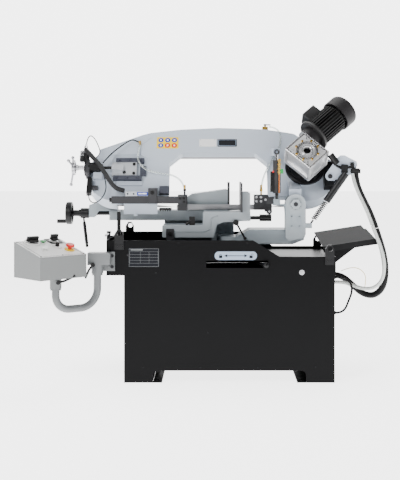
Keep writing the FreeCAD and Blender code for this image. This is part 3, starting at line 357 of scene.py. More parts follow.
def bow_local(point):
    """(x, u, n) of a place, in the leaning wheel plane."""
    return bow_matrix(0, 0, 0).inverted() @ Vector(point)


# ---------------------------------------------------------------- camera, floor and light
def camera():
    data = bpy.data.cameras.new("camera")
    data.lens, data.sensor_width = 73.5, 36
    data.shift_x, data.shift_y = -16 / 480, -82 / 480
    cam = bpy.data.objects.new("camera", data)
    cam.location = (-0.067, -5.20, 1.124)
    cam.rotation_euler = (pi / 2, 0, 0)
    bpy.context.collection.objects.link(cam)
    bpy.context.scene.camera = cam


def area_light(name, place, target, size, power):
    data = bpy.data.lights.new(name, "AREA")
    data.energy, data.size = power, size
    lamp = bpy.data.objects.new(name, data)
    lamp.location = place
    lamp.rotation_euler = (Vector(target) - Vector(place)).to_track_quat("-Z", "Y").to_euler()
    bpy.context.collection.objects.link(lamp)


def studio():
    world = bpy.data.worlds.new("world")
    bpy.context.scene.world = world
    world.use_nodes = True
    nodes, links = world.node_tree.nodes, world.node_tree.links
    back = nodes["Background"]
    back.inputs[0].default_value = (1, 1, 1, 1)
    coords, split, total = (nodes.new("ShaderNode" + kind) for kind in ("TexCoord", "SeparateXYZ", "Math"))
    links.new(coords.outputs["Generated"], split.inputs[0])
    for k, band in enumerate(((-0.5, 0.7, 0.14, 0.70), (0.80, 0.94, 0.0, 4.3))):
        ramp = nodes.new("ShaderNodeMapRange")
        for socket, value in zip(ramp.inputs[1:5], band):
            socket.default_value = value
        links.new(split.outputs["Y"], ramp.inputs[0])
        links.new(ramp.outputs[0], total.inputs[k])
    links.new(total.outputs[0], back.inputs[1])
    area_light("key", (-2.4, -3.4, 3.4), (0, 0, 0.8), 1.6, 150)
    area_light("fill", (3.0, -3.0, 2.0), (0, 0, 0.8), 2.0, 30)
    area_light("top", (0, 0.6, 3.6), (0, 0, 0.8), 2.5, 70)
    floor_mat = material("floor", (0.93, 0.93, 0.93), 0.8, mottle=0.01, shine=0.1)
    glow = floor_mat.node_tree.nodes["Principled BSDF"]
    glow.inputs["Emission Color"].default_value = (1, 1, 1, 1)
    glow.inputs["Emission Strength"].default_value = 3.4
    bm = bmesh.new()
    add_box(bm, (40, 40, 0.02), Matrix.Translation((0, 8, -0.0205)))
    floor = piece("floor", bm, "white_plastic", None)
    floor.data.materials[0] = floor_mat


# ---------------------------------------------------------------- cords
def nurbs(name, points, radius, look):
    """Smooth round cord through a route's control points."""
    data = bpy.data.curves.new(name, "CURVE")
    data.dimensions = "3D"
    spline = data.splines.new("NURBS")
    spline.points.add(len(points) - 1)
    for point, place in zip(spline.points, points):
        point.co = (*place, 1)
    spline.order_u = 3
    spline.use_endpoint_u = True
    spline.resolution_u = 12
    data.bevel_resolution = 6
    data.use_fill_caps = True
    obj = bpy.data.objects.new(name, data)
    bpy.context.collection.objects.link(obj)
    data.materials.append(MATS[look])
    data.bevel_depth = radius
    return obj


def centreline(obj):
    """Points of a curve's own line, and its length."""
    radius, obj.data.bevel_depth = obj.data.bevel_depth, 0
    bpy.context.view_layer.update()
    mesh = bpy.data.meshes.new_from_object(obj)
    path = [v.co.copy() for v in mesh.vertices]
    bpy.data.meshes.remove(mesh)
    obj.data.bevel_depth = radius
    return path, sum((b - a).length for a, b in zip(path, path[1:]))


def tube_mesh(name, points, radius, look, ribs=0.0, pitch=0.006, sides=24):
    """Mesh tube along a route; ribs gives a corrugated conduit."""
    guide = nurbs(name + "_guide", points, radius, look)
    path, length = centreline(guide)
    bpy.data.objects.remove(guide)
    rings, travelled, bm = [], 0.0, bmesh.new()
    step = pitch / 4 if ribs else 0.006
    dense = resample(path, step)
    side = Vector((0, 1, 0))
    angles = [2 * pi * j / sides for j in range(sides)]
    for k, place in enumerate(dense):
        ahead = (dense[min(k + 1, len(dense) - 1)] - dense[max(k - 1, 0)]).normalized()
        side = (side - ahead * side.dot(ahead)).normalized()
        other = ahead.cross(side)
        r = radius - ribs * (0.5 + 0.5 * cos(2 * pi * travelled / pitch)) if ribs else radius
        rings.append([bm.verts.new(place + side * r * cos(a) + other * r * sin(a)) for a in angles])
        travelled += step
    join_loops(bm, rings)
    close_ends(bm, rings)
    obj = piece(name, bm, look, None)
    return obj, path, length


def resample(path, step):
    """Evenly spaced points along a polyline."""
    out, left = [path[0]], step
    for a, b in zip(path, path[1:]):
        run, way, at = (b - a).length, b - a, 0.0
        while run - at >= left:
            at += left
            out.append(a + way * (at / run))
            left = step
        left -= run - at
    out.append(path[-1])
    return out


def mm(points):
    return [tuple(v / 1000 for v in p) for p in points]


CONDUIT_UPPER = mm([(664, -60, 1044), (668, -66, 1000), (684, -84, 946), (712, -106, 884), (740, -122, 822),
                    (760, -130, 760)])
CONDUIT_LOWER = mm([(760.7, -130.2, 757.5), (782, -132, 694), (800, -130, 630), (812, -118, 564),
                    (814, -98, 496), (800, -74, 436), (760, -52, 400), (708, -36, 408), (662, -24, 446),
                    (618, -12, 488), (578, 0, 505), (547, 0, 505)])
HOSE_UPPER = mm([(644, -90, 1044), (650, -98, 1004), (668, -118, 950), (692, -140, 894), (716, -156, 838),
                 (736, -162, 780)])
HOSE_LOWER = mm([(736.8, -162.2, 777.5), (758, -166, 722), (780, -168, 664), (796, -168, 602),
                 (798, -164, 540), (784, -152, 484), (744, -138, 450), (694, -128, 448),
                 (646, -118, 462), (596, -110, 480), (547, -110, 480)])
MAINS_LEAD = mm([(547, -170, 512), (580, -170, 512), (612, -172, 500), (630, -176, 468), (628, -178, 430),
                 (612, -178, 392), (598, -174, 352), (572, -170, 330), (547, -170, 330)])


def side_cords():
    """Conduit and coolant hose from the head to the cabinet, mains lead and a loose wire by the gland."""
    for name, route, radius, look, ribs, bodies in (
            ("conduit_upper", CONDUIT_UPPER, 0.017, "rubber", 0.0016, ("bow", "swivel")),
            ("conduit_lower", CONDUIT_LOWER, 0.017, "rubber", 0.0016, ("swivel", "root")),
            ("hose_upper", HOSE_UPPER, 0.009, "hose_white", 0.0, ("bow", "swivel")),
            ("hose_lower", HOSE_LOWER, 0.009, "hose_white", 0.0, ("swivel", "root"))):
        tube, path, length = tube_mesh(name + "_tube", route, radius, look, ribs)
        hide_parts(name)
        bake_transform(tube)
    lead = nurbs("mains_lead_cord", MAINS_LEAD, 0.0055, "rubber")
    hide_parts("mains_lead")
    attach(lead, "root")
    wire("yellow_wire", [(0.596, -0.004, 0.525), (0.637, -0.055, 0.552), (0.690, -0.070, 0.545),
                         (0.724, -0.070, 0.500), (0.712, -0.055, 0.440)], 0.0018, "yellow_plastic", "root")
    _, length = centreline(lead)


def add_along(bm, r, points, sides=16):
    """Straight round bars joined end to end through the points."""
    for a, b in zip(points, points[1:]):
        add_cyl(bm, r, (Vector(b) - Vector(a)).length, along(a, b), sides)
        add_ball(bm, r, Matrix.Translation(b))


def wire(name, points, radius, look, body):
    """A free cord drawn as one curve that rides a body."""
    obj = nurbs(name, points, radius, look)
    _, length = centreline(obj)
    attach(obj, body)


def bow_point(x, u, n):
    return tuple(bow_matrix(x, u, n).translation)


def head_cords():
    """Cables, braided sleeve and clear coolant hoses on the sawing head."""
    sleeve = [bow_point(*p) for p in ((-0.768, 0.286, 0.098), (-0.755, 0.263, 0.112), (-0.713, 0.211, 0.116),
                                      (-0.678, 0.166, 0.118), (-0.643, 0.103, 0.116), (-0.608, 0.050, 0.112),
                                      (-0.580, 0.030, 0.104), (-0.548, 0.030, 0.092))]
    wire("sensor_sleeve", sleeve, 0.0120, "braid", "bow")
    loop = [bow_point(*p) for p in ((-0.768, 0.312, 0.095), (-0.768, 0.360, 0.088), (-0.752, 0.392, 0.086),
                                    (-0.725, 0.365, 0.090), (-0.700, 0.309, 0.092), (-0.689, 0.270, 0.096),
                                    (-0.700, 0.236, 0.104), (-0.712, 0.222, 0.112))]
    wire("sensor_cable", loop, 0.0028, "black_plastic", "bow")
    switch = [bow_point(*p) for p in ((-0.735, 0.014, 0.078), (-0.733, -0.020, 0.080),
                                      (-0.702, -0.046, 0.084), (-0.664, -0.022, 0.090),
                                      (-0.642, 0.030, 0.096), (-0.648, 0.080, 0.104),
                                      (-0.660, 0.118, 0.112))]
    wire("switch_cable", switch, 0.0028, "black_plastic", "bow")
    black = [bow_point(*p) for p in ((-0.481, 0.356, 0.064), (-0.514, 0.368, 0.078), (-0.546, 0.349, 0.086),
                                     (-0.612, 0.283, 0.094), (-0.647, 0.231, 0.104), (-0.668, 0.190, 0.114))]
    wire("lamp_cable", black, 0.0035, "black_plastic", "bow")
    hose = [bow_point(*p) for p in ((-0.481, 0.346, 0.066), (-0.488, 0.265, 0.086), (-0.485, 0.219, 0.092),
                                    (-0.462, 0.181, 0.094), (-0.430, 0.158, 0.086), (-0.365, 0.147, 0.078),
                                    (-0.312, 0.139, 0.078))]
    hose += [(-0.274, 0.002, 1.022), (-0.244, -0.008, 0.994), (-0.233, -0.008, 0.962)]
    tube, path, length = tube_mesh("left_coolant_hose", hose, 0.0045, "clear_hose")
    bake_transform(tube)
    right = [(0.172, -0.010, 0.962), (0.176, -0.004, 0.992), (0.192, 0.022, 1.040), (0.222, 0.060, 1.090),
             (0.258, 0.104, 1.150), (0.285, 0.140, 1.205), (0.286, 0.190, 1.262), (0.262, 0.220, 1.292),
             (0.226, 0.219, 1.297)]
    wire("right_coolant_hose", right, 0.0045, "clear_hose", "bow")
    bm = bmesh.new()
    add_cyl(bm, 0.0065, 0.024, along((-0.233, -0.008, 0.958), (-0.233, -0.008, 0.982)), 24)
    piece("left_hose_tail", bm, "brass", "guide", 0.0006)
    bm = bmesh.new()
    add_cyl(bm, 0.0065, 0.024, along((0.172, -0.010, 0.958), (0.172, -0.010, 0.982)), 24)
    add_cyl(bm, 0.0065, 0.026, bow_matrix(-0.481, 0.346, 0.0595), 24)
    piece("hose_tails", bm, "brass", "bow", 0.0006)
    bm = bmesh.new()
    add_cyl(bm, 0.010, 0.026, along(bow_point(-0.768, 0.280, 0.099), bow_point(-0.768, 0.320, 0.094)), 24)
    add_cyl(bm, 0.006, 0.018, along(bow_point(-0.768, 0.304, 0.096), bow_point(-0.768, 0.344, 0.091)), 24)
    add_cyl(bm, 0.0065, 0.016, bow_matrix(-0.481, 0.356, 0.0595), 24)
    piece("cable_glands", bm, "chrome", "bow", 0.0006)


def spring():
    """Drawn-out extension spring in place of the plain CAD cylinder."""
    way = (SPRING_TOP - SPRING_FOOT).normalized()
    frame_turn = way.to_track_quat("Z", "Y").to_matrix()
    start, end, turns, coil_r, wire_r, sides, steps = 0.036, 0.151, 11, 0.0124, 0.0026, 10, 28
    bm, rings = bmesh.new(), []
    total = turns * steps
    angles = [2 * pi * j / sides for j in range(sides)]
    for k in range(total + 1):
        a = 2 * pi * k / steps
        at = start + wire_r + (end - start - 2 * wire_r) * k / total
        centre = Vector((coil_r * cos(a), coil_r * sin(a), at))
        out = Vector((cos(a), sin(a), 0))
        section = [centre + out * wire_r * cos(b) + Vector((0, 0, wire_r * sin(b))) for b in angles]
        rings.append([bm.verts.new(SPRING_FOOT + frame_turn @ point) for point in section])
    join_loops(bm, rings)
    close_ends(bm, rings)
    coil = piece("return_spring_coil", bm, "black_paint", None)
    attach(coil, "spring")
    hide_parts("return_spring")
    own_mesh(coil)


def blade_teeth():
    """Toothed lower edge between the guides, where the blade stands upright."""
    bm = bmesh.new()
    low, pitch = 0.864 - 0.0135, 0.006
    x = -0.215
    while x < 0.128:
        tooth = [(x, low + 0.0004), (x + pitch * 0.95, low + 0.0004), (x + pitch * 0.35, low - 0.0022)]
        add_outline(bm, tooth, 0.0009, Matrix.Translation((0, 0.00045, 0)) @ Matrix.Rotation(pi / 2, 4, "X"))
        x += pitch
    piece("blade_teeth", bm, "blade_steel", "drive", smooth=False)


def plate(name, w, h, matrix, look, body, thick=0.0008, radius=0.004):
    """Thin plate or label with rounded corners."""
    bm = bmesh.new()
    add_outline(bm, rounded(w, h, radius), thick, matrix)
    return piece(name, bm, look, body, smooth=False)


def head_details():
    """Fasteners and fittings of the tension unit, guides and sensors on the head's left end."""
    bm = bmesh.new()
    for x, u in ((-0.556, 0.152), (-0.505, 0.204), (-0.505, 0.146)):
        add_socket_head(bm, 0.0085, 0.005, bow_matrix(x, u, 0.0781))
    piece("slide_screws", bm, "black_plastic", "tension", 0.0005)
    bm = bmesh.new()
    add_ring(bm, 0.029, 0.0095, 0.060, x_axis(-0.746, 0.175, 0.090), 6)
    add_ring(bm, 0.020, 0.0090, 0.016, x_axis(-0.686, 0.175, 0.090), 24)
    add_box(bm, (0.005, 0.076, 0.052), bow_matrix(-0.764, 0.175, 0.064))
    piece("tension_body", bm, "black_plastic", "bow", 0.0015)
    up = bow_matrix(-0.784, 0.212, 0.090) @ Matrix.Rotation(-pi / 2, 4, "X")
    bm = bmesh.new()
    add_cyl(bm, 0.0135, 0.022, up @ Matrix.Translation((0, 0, 0.006)), 24)
    piece("gauge_grip", bm, "braid", "bow", 0.001)
    bm = bmesh.new()
    add_cyl(bm, 0.0155, 0.008, up @ Matrix.Translation((0, 0, 0.029)), 32)
    add_cyl(bm, 0.0155, 0.008, up @ Matrix.Translation((0, 0, 0.056)), 32)
    add_cyl(bm, 0.0130, 0.020, up @ Matrix.Translation((0, 0, 0.036)), 32)
    add_cyl(bm, 0.0060, 0.024, x_axis(-0.786, 0.212, 0.090), 16)
    piece("gauge_body", bm, "chrome", "bow", 0.0008)
    bm = bmesh.new()
    add_box(bm, (0.050, 0.040, 0.024), bow_matrix(-0.695, 0.134, 0.060))
    piece("tension_lug", bm, "bow_grey", "bow", 0.003)
    bm = bmesh.new()
    add_box(bm, (0.137, 0.026, 0.008), bow_matrix(-0.526, 0.092, 0.060))
    piece("slide_pad", bm, "bow_grey", "bow", 0.002)
    bm = bmesh.new()
    add_box(bm, (0.034, 0.060, 0.014), bow_matrix(-0.456, 0.168, 0.060))
    add_box(bm, (0.054, 0.046, 0.020), bow_matrix(-0.339, 0.044, 0.060))
    piece("head_blocks", bm, "slate", "bow", 0.002)
    bm = bmesh.new()
    add_ring(bm, 0.0135, 0.0100, 0.004, x_axis(-0.468, 0.200, 0.066), 24)
    for x, z in ((-0.528, 0.937), (-0.496, 0.937)):
        add_cyl(bm, 0.0045, 0.0016, front_matrix(x, -0.0930, z), 16)
    piece("head_dots", bm, "ink", "bow", smooth=False)
    bm = bmesh.new()
    add_box(bm, (0.118, 0.028, 0.0235), Matrix.Translation((-0.4805, -0.079, 0.9255)))
    piece("sensor_block", bm, "machined", "bow", 0.001)
    for name, w, h, y, z, look, thick in (
            ("sensor_label", 0.056, 0.019, -0.0931, 0.9375, "blue_ink", 0.0006),
            ("sensor_label_bar", 0.044, 0.007, -0.0937, 0.9385, "white_plastic", 0.0003)):
        plate(name, w, h, front_matrix(-0.450, y, z), look, "bow", thick, 0.001)
    bm = bmesh.new()
    add_socket_head(bm, 0.010, 0.005, front_matrix(-0.398, -0.1021, 0.944))
    piece("clamp_screw", bm, "black_plastic", "bow", 0.0005)
    bm = bmesh.new()
    add_cyl(bm, 0.012, 0.012, along((-0.6125, -0.078, 0.905), (-0.630, -0.078, 0.905)), 20)
    for x, z in ((-0.254, 0.914), (-0.234, 0.914), (-0.234, 0.896)):
        add_socket_head(bm, 0.0065, 0.004, front_matrix(x, -0.0941, z))
    piece("arm_screws", bm, "black_plastic", "guide", 0.0005)
    bm = bmesh.new()
    add_box(bm, (0.066, 0.020, 0.012), Matrix.Translation((-0.331, -0.080, 0.852)))
    for k in range(5):
        add_cyl(bm, 0.004, 0.003, front_matrix(-0.355 + k * 0.012, -0.0901, 0.850), 12)
    piece("blade_brush", bm, "black_plastic", "guide", 0.001)


def right_guide_details():
    """Cap screws on the right guide's face."""
    bm = bmesh.new()
    for x, z in ((0.146, 0.918), (0.170, 0.918), (0.146, 0.896), (0.170, 0.896), (0.194, 0.904)):
        add_socket_head(bm, 0.0065, 0.004, front_matrix(x, -0.0321, z))
    add_cyl(bm, 0.006, 0.004, front_matrix(0.214, -0.0341, 0.842), 16)
    piece("right_guide_screws", bm, "steel", "bow", 0.0005)


def right_end():
    """Pivot cap, junction box, cable sleeve, cable clamp and spring plate bolt on the head's right end."""
    bm = bmesh.new()
    ear = front_matrix(0.344, -0.1551, 0.886)
    add_cyl(bm, 0.0255, 0.004, ear, 40)
    for k in range(16):
        a = 2 * pi * k / 16
        add_box(bm, (0.006, 0.003, 0.004), ear @ Matrix.Translation((0.0262 * cos(a), 0.0262 * sin(a), 0))
                @ Matrix.Rotation(a - pi / 2, 4, "Z"))
    add_cyl(bm, 0.013, 0.007, ear, 6)
    piece("pivot_cap", bm, "dark_iron", "swivel", 0.0008)
    bm = bmesh.new()
    add_box(bm, (0.076, 0.150, 0.052), bow_matrix(0.540, 0.126, 0.0602))
    piece("junction_box", bm, "black_paint", "bow", 0.004)
    bm = bmesh.new()
    add_cyl(bm, 0.0175, 0.060, along((0.524, -0.132, 1.142), (0.560, -0.132, 1.094)), 32)
    piece("black_sleeve", bm, "black_plastic", "bow", 0.002)
    bm = bmesh.new()
    add_along(bm, 0.006, [(0.552, -0.1145, 1.088), (0.588, -0.1145, 1.068), (0.630, -0.1145, 1.076)], 16)
    add_box(bm, (0.034, 0.044, 0.016), front_matrix(0.600, -0.1085, 1.068))
    add_box(bm, (0.040, 0.018, 0.014), front_matrix(0.656, -0.1125, 1.062))
    add_box(bm, (0.020, 0.030, 0.010), front_matrix(0.640, -0.1085, 1.086))
    piece("cable_clamp", bm, "black_plastic", "bow", 0.0015)
    bm = bmesh.new()
    add_socket_head(bm, 0.012, 0.005, front_matrix(0.525, -0.1141, 1.029))
    piece("spring_plate_bolt", bm, "dark_iron", "bow", 0.0005)


def gearbox_matrix(a, b, n):
    """Frame on the gearbox: x up along the motor, y across it, z out of its face."""
    c = cos(pi / 4)
    return bow_matrix(DRIVE_X + (a - b) * c, HUB_U + (a + b) * c, n) @ Matrix.Rotation(pi / 4, 4, "Z")


def gearbox_details():
    """Raised rims on the gearbox's cast face, with thin dark lines beside them that are painted shadow."""
    bm = bmesh.new()
    for place, size in (((0, 0.083), (0.146, 0.005)), ((0, -0.083), (0.146, 0.005)),
                        ((0.070, 0), (0.005, 0.171)), ((-0.070, 0), (0.005, 0.171))):
        add_box(bm, (*size, 0.0035), gearbox_matrix(*place, GEARBOX_FACE))
    add_ring(bm, 0.052, 0.047, 0.0035, gearbox_matrix(0, 0, GEARBOX_FACE), 48)
    add_ring(bm, 0.0285, 0.0245, 0.0045, gearbox_matrix(0, 0, GEARBOX_FACE), 48)
    for k in range(4):
        turned = gearbox_matrix(0, 0, GEARBOX_FACE) @ Matrix.Rotation(pi / 4 + k * pi / 2, 4, "Z")
        add_box(bm, (0.030, 0.004, 0.003), turned @ Matrix.Translation((0.081, 0, 0)))
    piece("gearbox_rims", bm, "chrome", "bow", 0.0008)
    # Thin dark strips hugging the rims: painted shadow that the raised rims would cast on the cast face.
    bm = bmesh.new()
    for place, size in (((0, 0.0785), (0.130, 0.0030)), ((0, -0.0785), (0.130, 0.0030)),
                        ((0.0655, 0), (0.0030, 0.154)), ((-0.0655, 0), (0.0030, 0.154))):
        add_box(bm, (*size, 0.0006), gearbox_matrix(*place, GEARBOX_FACE))
    add_ring(bm, 0.0560, 0.0525, 0.0006, gearbox_matrix(0, 0, GEARBOX_FACE), 48)
    add_ring(bm, 0.0465, 0.0440, 0.0006, gearbox_matrix(0, 0, GEARBOX_FACE), 48)
    piece("gearbox_shadow_lines", bm, "cowl_grey", "bow", smooth=False)


def on_panel(name, height):
    """Frame above a control's place on the sloping panel."""
    return panel_matrix(*PANEL_PLACES[name]) @ Matrix.Translation((0, 0, height))


def control_details():
    """Full-size knobs, caps, bases and panel screws."""
    bm = bmesh.new()
    add_ring(bm, 0.041, 0.0225, 0.007, on_panel("main_sw", 0.0002), 40)
    add_ring(bm, 0.024, 0.0165, 0.004, on_panel("small_sw", 0.0002), 32)
    piece("white_bases", bm, "white_plastic", "box", 0.001)
    bm = bmesh.new()
    add_ring(bm, 0.050, 0.0250, 0.003, on_panel("mode_sw", 0.0002) @ Matrix.Rotation(pi / 4, 4, "Z"), 4)
    piece("mode_plate", bm, "black_plastic", "box", 0.0006)
    for body, disc, grip in (("main_sw", 0.032, (0.062, 0.015, 0.013)),
                             ("mode_sw", 0.022, (0.040, 0.014, 0.016))):
        bm = bmesh.new()
        add_cyl(bm, disc, 0.010, on_panel(body, 0.0118), 40, disc * 0.92)
        add_box(bm, grip, on_panel(body, 0.0216))
        piece(body + "_knob", bm, "black_plastic", body, 0.0015)
    for body, look in (("green", "green_plastic"), ("white", "white_plastic")):
        bm = bmesh.new()
        add_cyl(bm, 0.0155, 0.0035, on_panel(body, 0.0098), 32, 0.0145)
        piece(body + "_cap", bm, look, body, 0.0006)
    bm = bmesh.new()
    add_cyl(bm, 0.0225, 0.008, on_panel("estop", 0.0215), 40, 0.019)
    piece("estop_cap", bm, "red_plastic", "estop", 0.0015)
    bm = bmesh.new()
    for across in (0.04, 0.5, 0.96):
        for back in (0.04, 0.96):
            add_cyl(bm, 0.0042, 0.0022, panel_matrix(across, back), 16)
    piece("panel_screws", bm, "black_plastic", "box", 0.0004)


def clamp_levers():
    """Clamp levers of the control arm, grip of the vise's rapid lever and bolts of the arm's bracket."""
    bm = bmesh.new()
    add_cyl(bm, 0.010, 0.022, front_matrix(-0.822, -0.492, 0.527), 20)
    add_along(bm, 0.0055, [(-0.822, -0.509, 0.527), (-0.790, -0.512, 0.536), (-0.744, -0.512, 0.559)])
    piece("box_clamp_lever", bm, "black_plastic", "arm", 0.0006)
    bm = bmesh.new()
    add_cyl(bm, 0.0088, 0.118, along((-0.7810, 0.1110, 0.777), (-0.7665, 0.1064, 0.661)), 20)
    piece("rapid_lever_grip", bm, "black_paint", "rapid_lever", 0.002)
    bm = bmesh.new()
    add_cyl(bm, 0.010, 0.018, front_matrix(-0.672, -0.379, 0.598), 20)
    add_along(bm, 0.0055, [(-0.672, -0.392, 0.598), (-0.690, -0.396, 0.575), (-0.706, -0.396, 0.538)])
    piece("arm_clamp_lever", bm, "black_plastic", "root", 0.0006)
    bm = bmesh.new()
    for z in (0.636, 0.582):
        add_socket_head(bm, 0.0085, 0.005, front_matrix(-0.585, -0.3121, z))
    piece("bracket_bolts", bm, "dark_iron", "root", 0.0005)


def vise_details():
    """Cast relief, stop bracket and tee-bolt on the bed's front."""
    bm = bmesh.new()
    rib = ((-0.330, 0.742), (-0.125, 0.742), (-0.096, 0.757), (-0.091, 0.812), (-0.060, 0.824))
    add_along(bm, 0.0035, [(x, -0.1055, z) for x, z in rib], 12)
    piece("bed_relief", bm, "base_grey", "root")
    bm = bmesh.new()
    add_box(bm, (0.040, 0.058, 0.014), front_matrix(-0.306, -0.1052, 0.727))
    piece("bed_bracket", bm, "dark_iron", "root", 0.002)
    bm = bmesh.new()
    add_cyl(bm, 0.012, 0.007, front_matrix(-0.306, -0.1193, 0.732), 6)
    add_box(bm, (0.030, 0.030, 0.044), Matrix.Translation((-0.192, -0.086, 0.7742)))
    add_along(bm, 0.007, [(-0.196, -0.096, 0.800), (-0.220, -0.098, 0.780)])
    piece("bed_knob", bm, "black_plastic", "root", 0.002)
    bm = bmesh.new()
    for x in (-0.596, -0.506):
        add_socket_head(bm, 0.0062, 0.004, front_matrix(x, -0.3112, 0.640))
    piece("left_lug_bolts", bm, "dark_iron", "root", 0.0005)


def cylinder_details():
    """Fittings on the front of the feed cylinder."""
    bm = bmesh.new()
    x, y = 0.258, -0.164
    add_cyl(bm, 0.0065, 0.080, Matrix.Translation((x, y, 1.040)), 24)
    for z in (1.046, 1.066, 1.086, 1.106):
        add_cyl(bm, 0.0090, 0.010, Matrix.Translation((x, y, z)), 6)
    piece("flow_valve", bm, "brass", "cylinder", 0.0006)
    bm = bmesh.new()
    add_cyl(bm, 0.0038, 0.095, Matrix.Translation((x, y, 0.946)), 16)
    piece("copper_pipe", bm, "copper", "cylinder", 0.0004)
    bm = bmesh.new()
    add_box(bm, (0.016, 0.024, 0.003), front_matrix(0.270, -0.168, 1.056))
    piece("valve_tag", bm, "green_plastic", "cylinder", 0.0004)
    bm = bmesh.new()
    add_cyl(bm, 0.0045, 0.004, front_matrix(0.226, -0.1650, 1.054), 16)
    piece("red_dot", bm, "red_plastic", "cylinder", 0.0004)


def on_sticker(across, up, n):
    """Frame at one of the sticker's six pictures: column -1, 0 or 1 and row -1 or 1."""
    return bow_matrix(STICKER[0] + across * 0.037, STICKER[1] + up * 0.0175, n)


def bow_marks():
    """Cast relief, safety sticker and generic plates on the front of the bow."""
    skin = PLATE_FRONT + 0.0002
    bm = bmesh.new()
    for run in (((-0.638, 0.279), (-0.474, 0.279), (-0.420, 0.244)),
                ((-0.474, 0.279), (-0.464, 0.350), (-0.423, 0.390))):
        add_along(bm, 0.0028, [bow_point(x, u, PLATE_FRONT) for x, u in run], 12)
    piece("bow_relief", bm, "bow_grey", "bow")
    plate("safety_sticker", 0.118, 0.074, bow_matrix(*STICKER, skin), "yellow_plastic", "bow")
    for name, look, places in (("sticker_blue", "blue_ink", ((-1, 1), (0, 1), (1, 1), (-1, -1))),
                               ("sticker_red", "red_plastic", ((0, -1), (1, -1)))):
        bm = bmesh.new()
        for across, up in places:
            add_cyl(bm, 0.0145, 0.0004, on_sticker(across, up, skin + 0.0008), 32)
        piece(name, bm, look, "bow", smooth=False)
    bm = bmesh.new()
    for up in (1, -1):
        for across in (-1, 0, 1):
            add_box(bm, (0.009, 0.0115, 0.0003), on_sticker(across, up, skin + 0.0012))
    piece("sticker_pictures", bm, "white_plastic", "bow", smooth=False)
    plate("plate_light", 0.092, 0.050, bow_matrix(*LIGHT_PLATE, skin), "panel_white", "bow")
    plate("plate_dark", 0.106, 0.050, bow_matrix(*DARK_PLATE, skin), "ink", "bow")
    for name, w, h, lift, look in (("plate_dark_inner", 0.096, 0.040, 0.0008, "label_blue"),
                                   ("plate_dark_core", 0.092, 0.036, 0.0011, "ink")):
        plate(name, w, h, bow_matrix(*DARK_PLATE, skin + lift), look, "bow", 0.0003)
    bm = bmesh.new()
    for ends in ((-0.150, -0.074), (-0.050, 0.038)):
        for u in (0.337, 0.377):
            for x in ends:
                add_cyl(bm, 0.0022, 0.0022, bow_matrix(x, u, skin), 16)
    piece("plate_rivets", bm, "chrome", "bow", 0.0004)


def cabinet_marks():
    """Lock-direction label and a data plate on the tray's front."""
    skin = TRAY_FRONT_Y - 0.0002
    lock, data = (front_matrix(x, skin, z) for x, z in (LOCK_LABEL, DATA_PLATE))
    plate("lock_label", 0.211, 0.042, lock, "label_blue", "root", radius=0.020)
    top = skin - 0.0008
    bm = bmesh.new()
    place = front_matrix(LOCK_LABEL[0], top, LOCK_LABEL[1])
    add_box(bm, (0.086, 0.003, 0.0003), place)
    for side in (-1, 1):
        arrow = [(side * 0.058, 0), (side * 0.043, 0.008), (side * 0.043, -0.008)][::side]
        add_outline(bm, arrow, 0.0003, place)
        padlock = place @ Matrix.Translation((side * 0.076, -0.005, 0))
        add_box(bm, (0.016, 0.013, 0.0003), padlock)
        off, lift = (0.0, 0.0065) if side < 0 else (0.006, 0.009)      # the right padlock is open
        for k in range(10):
            start, end = pi * k / 10, pi * (k + 1) / 10
            shackle = ((0.0045, start), (0.0065, start), (0.0065, end), (0.0045, end))
            add_outline(bm, [(off + r * cos(a), lift + r * sin(a)) for r, a in shackle], 0.0003, padlock)
    piece("lock_pictures", bm, "ink", "root", smooth=False)
    plate("data_plate", 0.154, 0.095, data, "ink", "root", radius=0.003)
    bm = bmesh.new()
    place = front_matrix(DATA_PLATE[0], top, DATA_PLATE[1])
    for row in range(5):
        add_box(bm, (0.142, 0.0009, 0.0003), place @ Matrix.Translation((0, 0.030 - row * 0.0145, 0)))
    for x in (-0.071, -0.018, 0.026, 0.071):
        add_box(bm, (0.0009, 0.059, 0.0003), place @ Matrix.Translation((x, 0.001, 0)))
    add_box(bm, (0.060, 0.006, 0.0003), place @ Matrix.Translation((-0.036, 0.039, 0)))
    for side in (-1, 1):
        add_box(bm, (0.0012, 0.089, 0.0003), place @ Matrix.Translation((side * 0.0735, 0, 0)))
        add_box(bm, (0.148, 0.0012, 0.0003), place @ Matrix.Translation((0, side * 0.0445, 0)))
    piece("data_grid", bm, "pipe_grey", "root", smooth=False)


def panel_marks():
    """Plain marks round the controls and a border on the sloping panel."""
    bm = bmesh.new()
    slant = (BOX_D ** 2 + (BOX_BACK_H - BOX_FRONT_H) ** 2) ** 0.5
    for back in (0.045, 0.955):
        add_box(bm, (0.236, 0.0016, 0.0004), panel_matrix(0.5, back))
    for across in (0.055, 0.945):
        add_box(bm, (0.0016, slant * 0.91, 0.0004), panel_matrix(across, 0.5))
    for switch, reach in (("main_sw", 0.030), ("mode_sw", 0.024), ("small_sw", 0.022)):
        for step in (-1, 0, 1):
            a = pi / 2 + step * pi / 4
            spot = on_panel(switch, 0) @ Matrix.Translation((reach * cos(a), reach * sin(a), 0))
            add_box(bm, (0.0012, 0.0045, 0.0004), spot @ Matrix.Rotation(a - pi / 2, 4, "Z"))
    piece("panel_print", bm, "ink", "box", smooth=False)


def paint_panel():
    """The sloping face of the control box is light; its other faces keep the box grey."""
    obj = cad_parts["control_box"]
    obj.data.materials.append(MATS["panel_white"])
    out = (panel_matrix(0.5, 0.5).to_3x3() @ Vector((0, 0, 1))).normalized()
    for face in obj.data.polygons:
        if face.normal.dot(out) > 0.995:
            face.material_index = 1


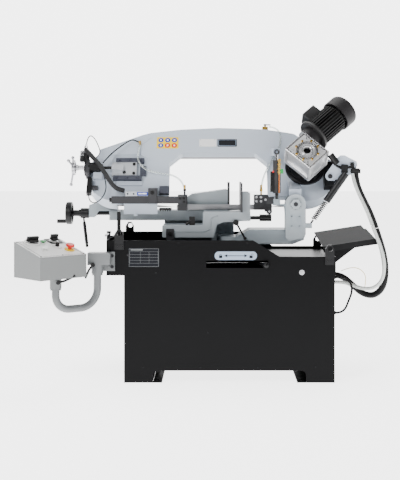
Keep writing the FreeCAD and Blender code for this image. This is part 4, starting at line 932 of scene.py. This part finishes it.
def repaint(node, test, look):
    """Give the faces of a CAD node that pass a test on their centre another finish."""
    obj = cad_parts[node]
    obj.data.materials.append(MATS[look])
    index = len(obj.data.materials) - 1
    for face in obj.data.polygons:
        if test(face.center):
            face.material_index = index


def repaint_parts():
    """Second finishes on parts that are one CAD node: face plates, seals, spindles and fittings."""
    estop = panel_matrix(*PANEL_PLACES["estop"]).translation

    def up_motor(point):
        """Distance from the drive axle along the motor's axis, which leans at 45 degrees."""
        x, u, _ = bow_local(point)
        return (x - DRIVE_X) * cos(pi / 4) + (u - HUB_U) * sin(pi / 4)

    def on_switch(point):
        x, u, _ = bow_local(point)
        return x < -0.721 and u < 0.1125

    def on_clamp(point):
        return 0.63 < point.x and -0.12 < point.y < 0 and 1.043 < point.z < 1.067

    repaint("fixed_jaw", lambda c: c.x < 0.0705, "dark_iron")
    repaint("moving_jaw", lambda c: c.x > -0.0052, "dark_iron")
    repaint("gearbox_bolts", lambda c: bow_local(c).z < 0.20, "black_paint")
    repaint("gearbox", lambda c: up_motor(c) > 0.0755, "cowl_grey")
    repaint("tension_wheel", lambda c: bow_local(c).x > -0.762, "black_plastic")
    repaint("tension_bracket", lambda c: bow_local(c).y > 0.2, "chrome")
    repaint("tension_bracket", lambda c: 0.216 < bow_local(c).y < 0.262, "cowl_grey")
    repaint("tension_bracket", on_switch, "black_plastic")
    repaint("bow_brackets", lambda c: c.z > 1.28, "brass")
    repaint("bow_brackets", on_clamp, "black_plastic")
    repaint("bow_brackets", lambda c: c.x < 0.20 and c.z < 0.97, "brass")
    repaint("panel_bezels", lambda c: (c - estop).length < 0.034, "yellow_plastic")
    repaint("panel_fasteners", lambda c: 0.33 < c.x < 0.40 and 0.5 < c.z < 0.6, "steel")
    repaint("feed_cylinder", lambda c: c.x < 0.2265 and c.z > 0.94, "black_plastic")


def main():
    camera()
    studio()
    dress_frame()
    paint_panel()
    side_cords()
    head_cords()
    spring()
    blade_teeth()
    head_details()
    right_guide_details()
    right_end()
    gearbox_details()
    control_details()
    clamp_levers()
    vise_details()
    cylinder_details()
    repaint_parts()
    bow_marks()
    cabinet_marks()
    panel_marks()


main()
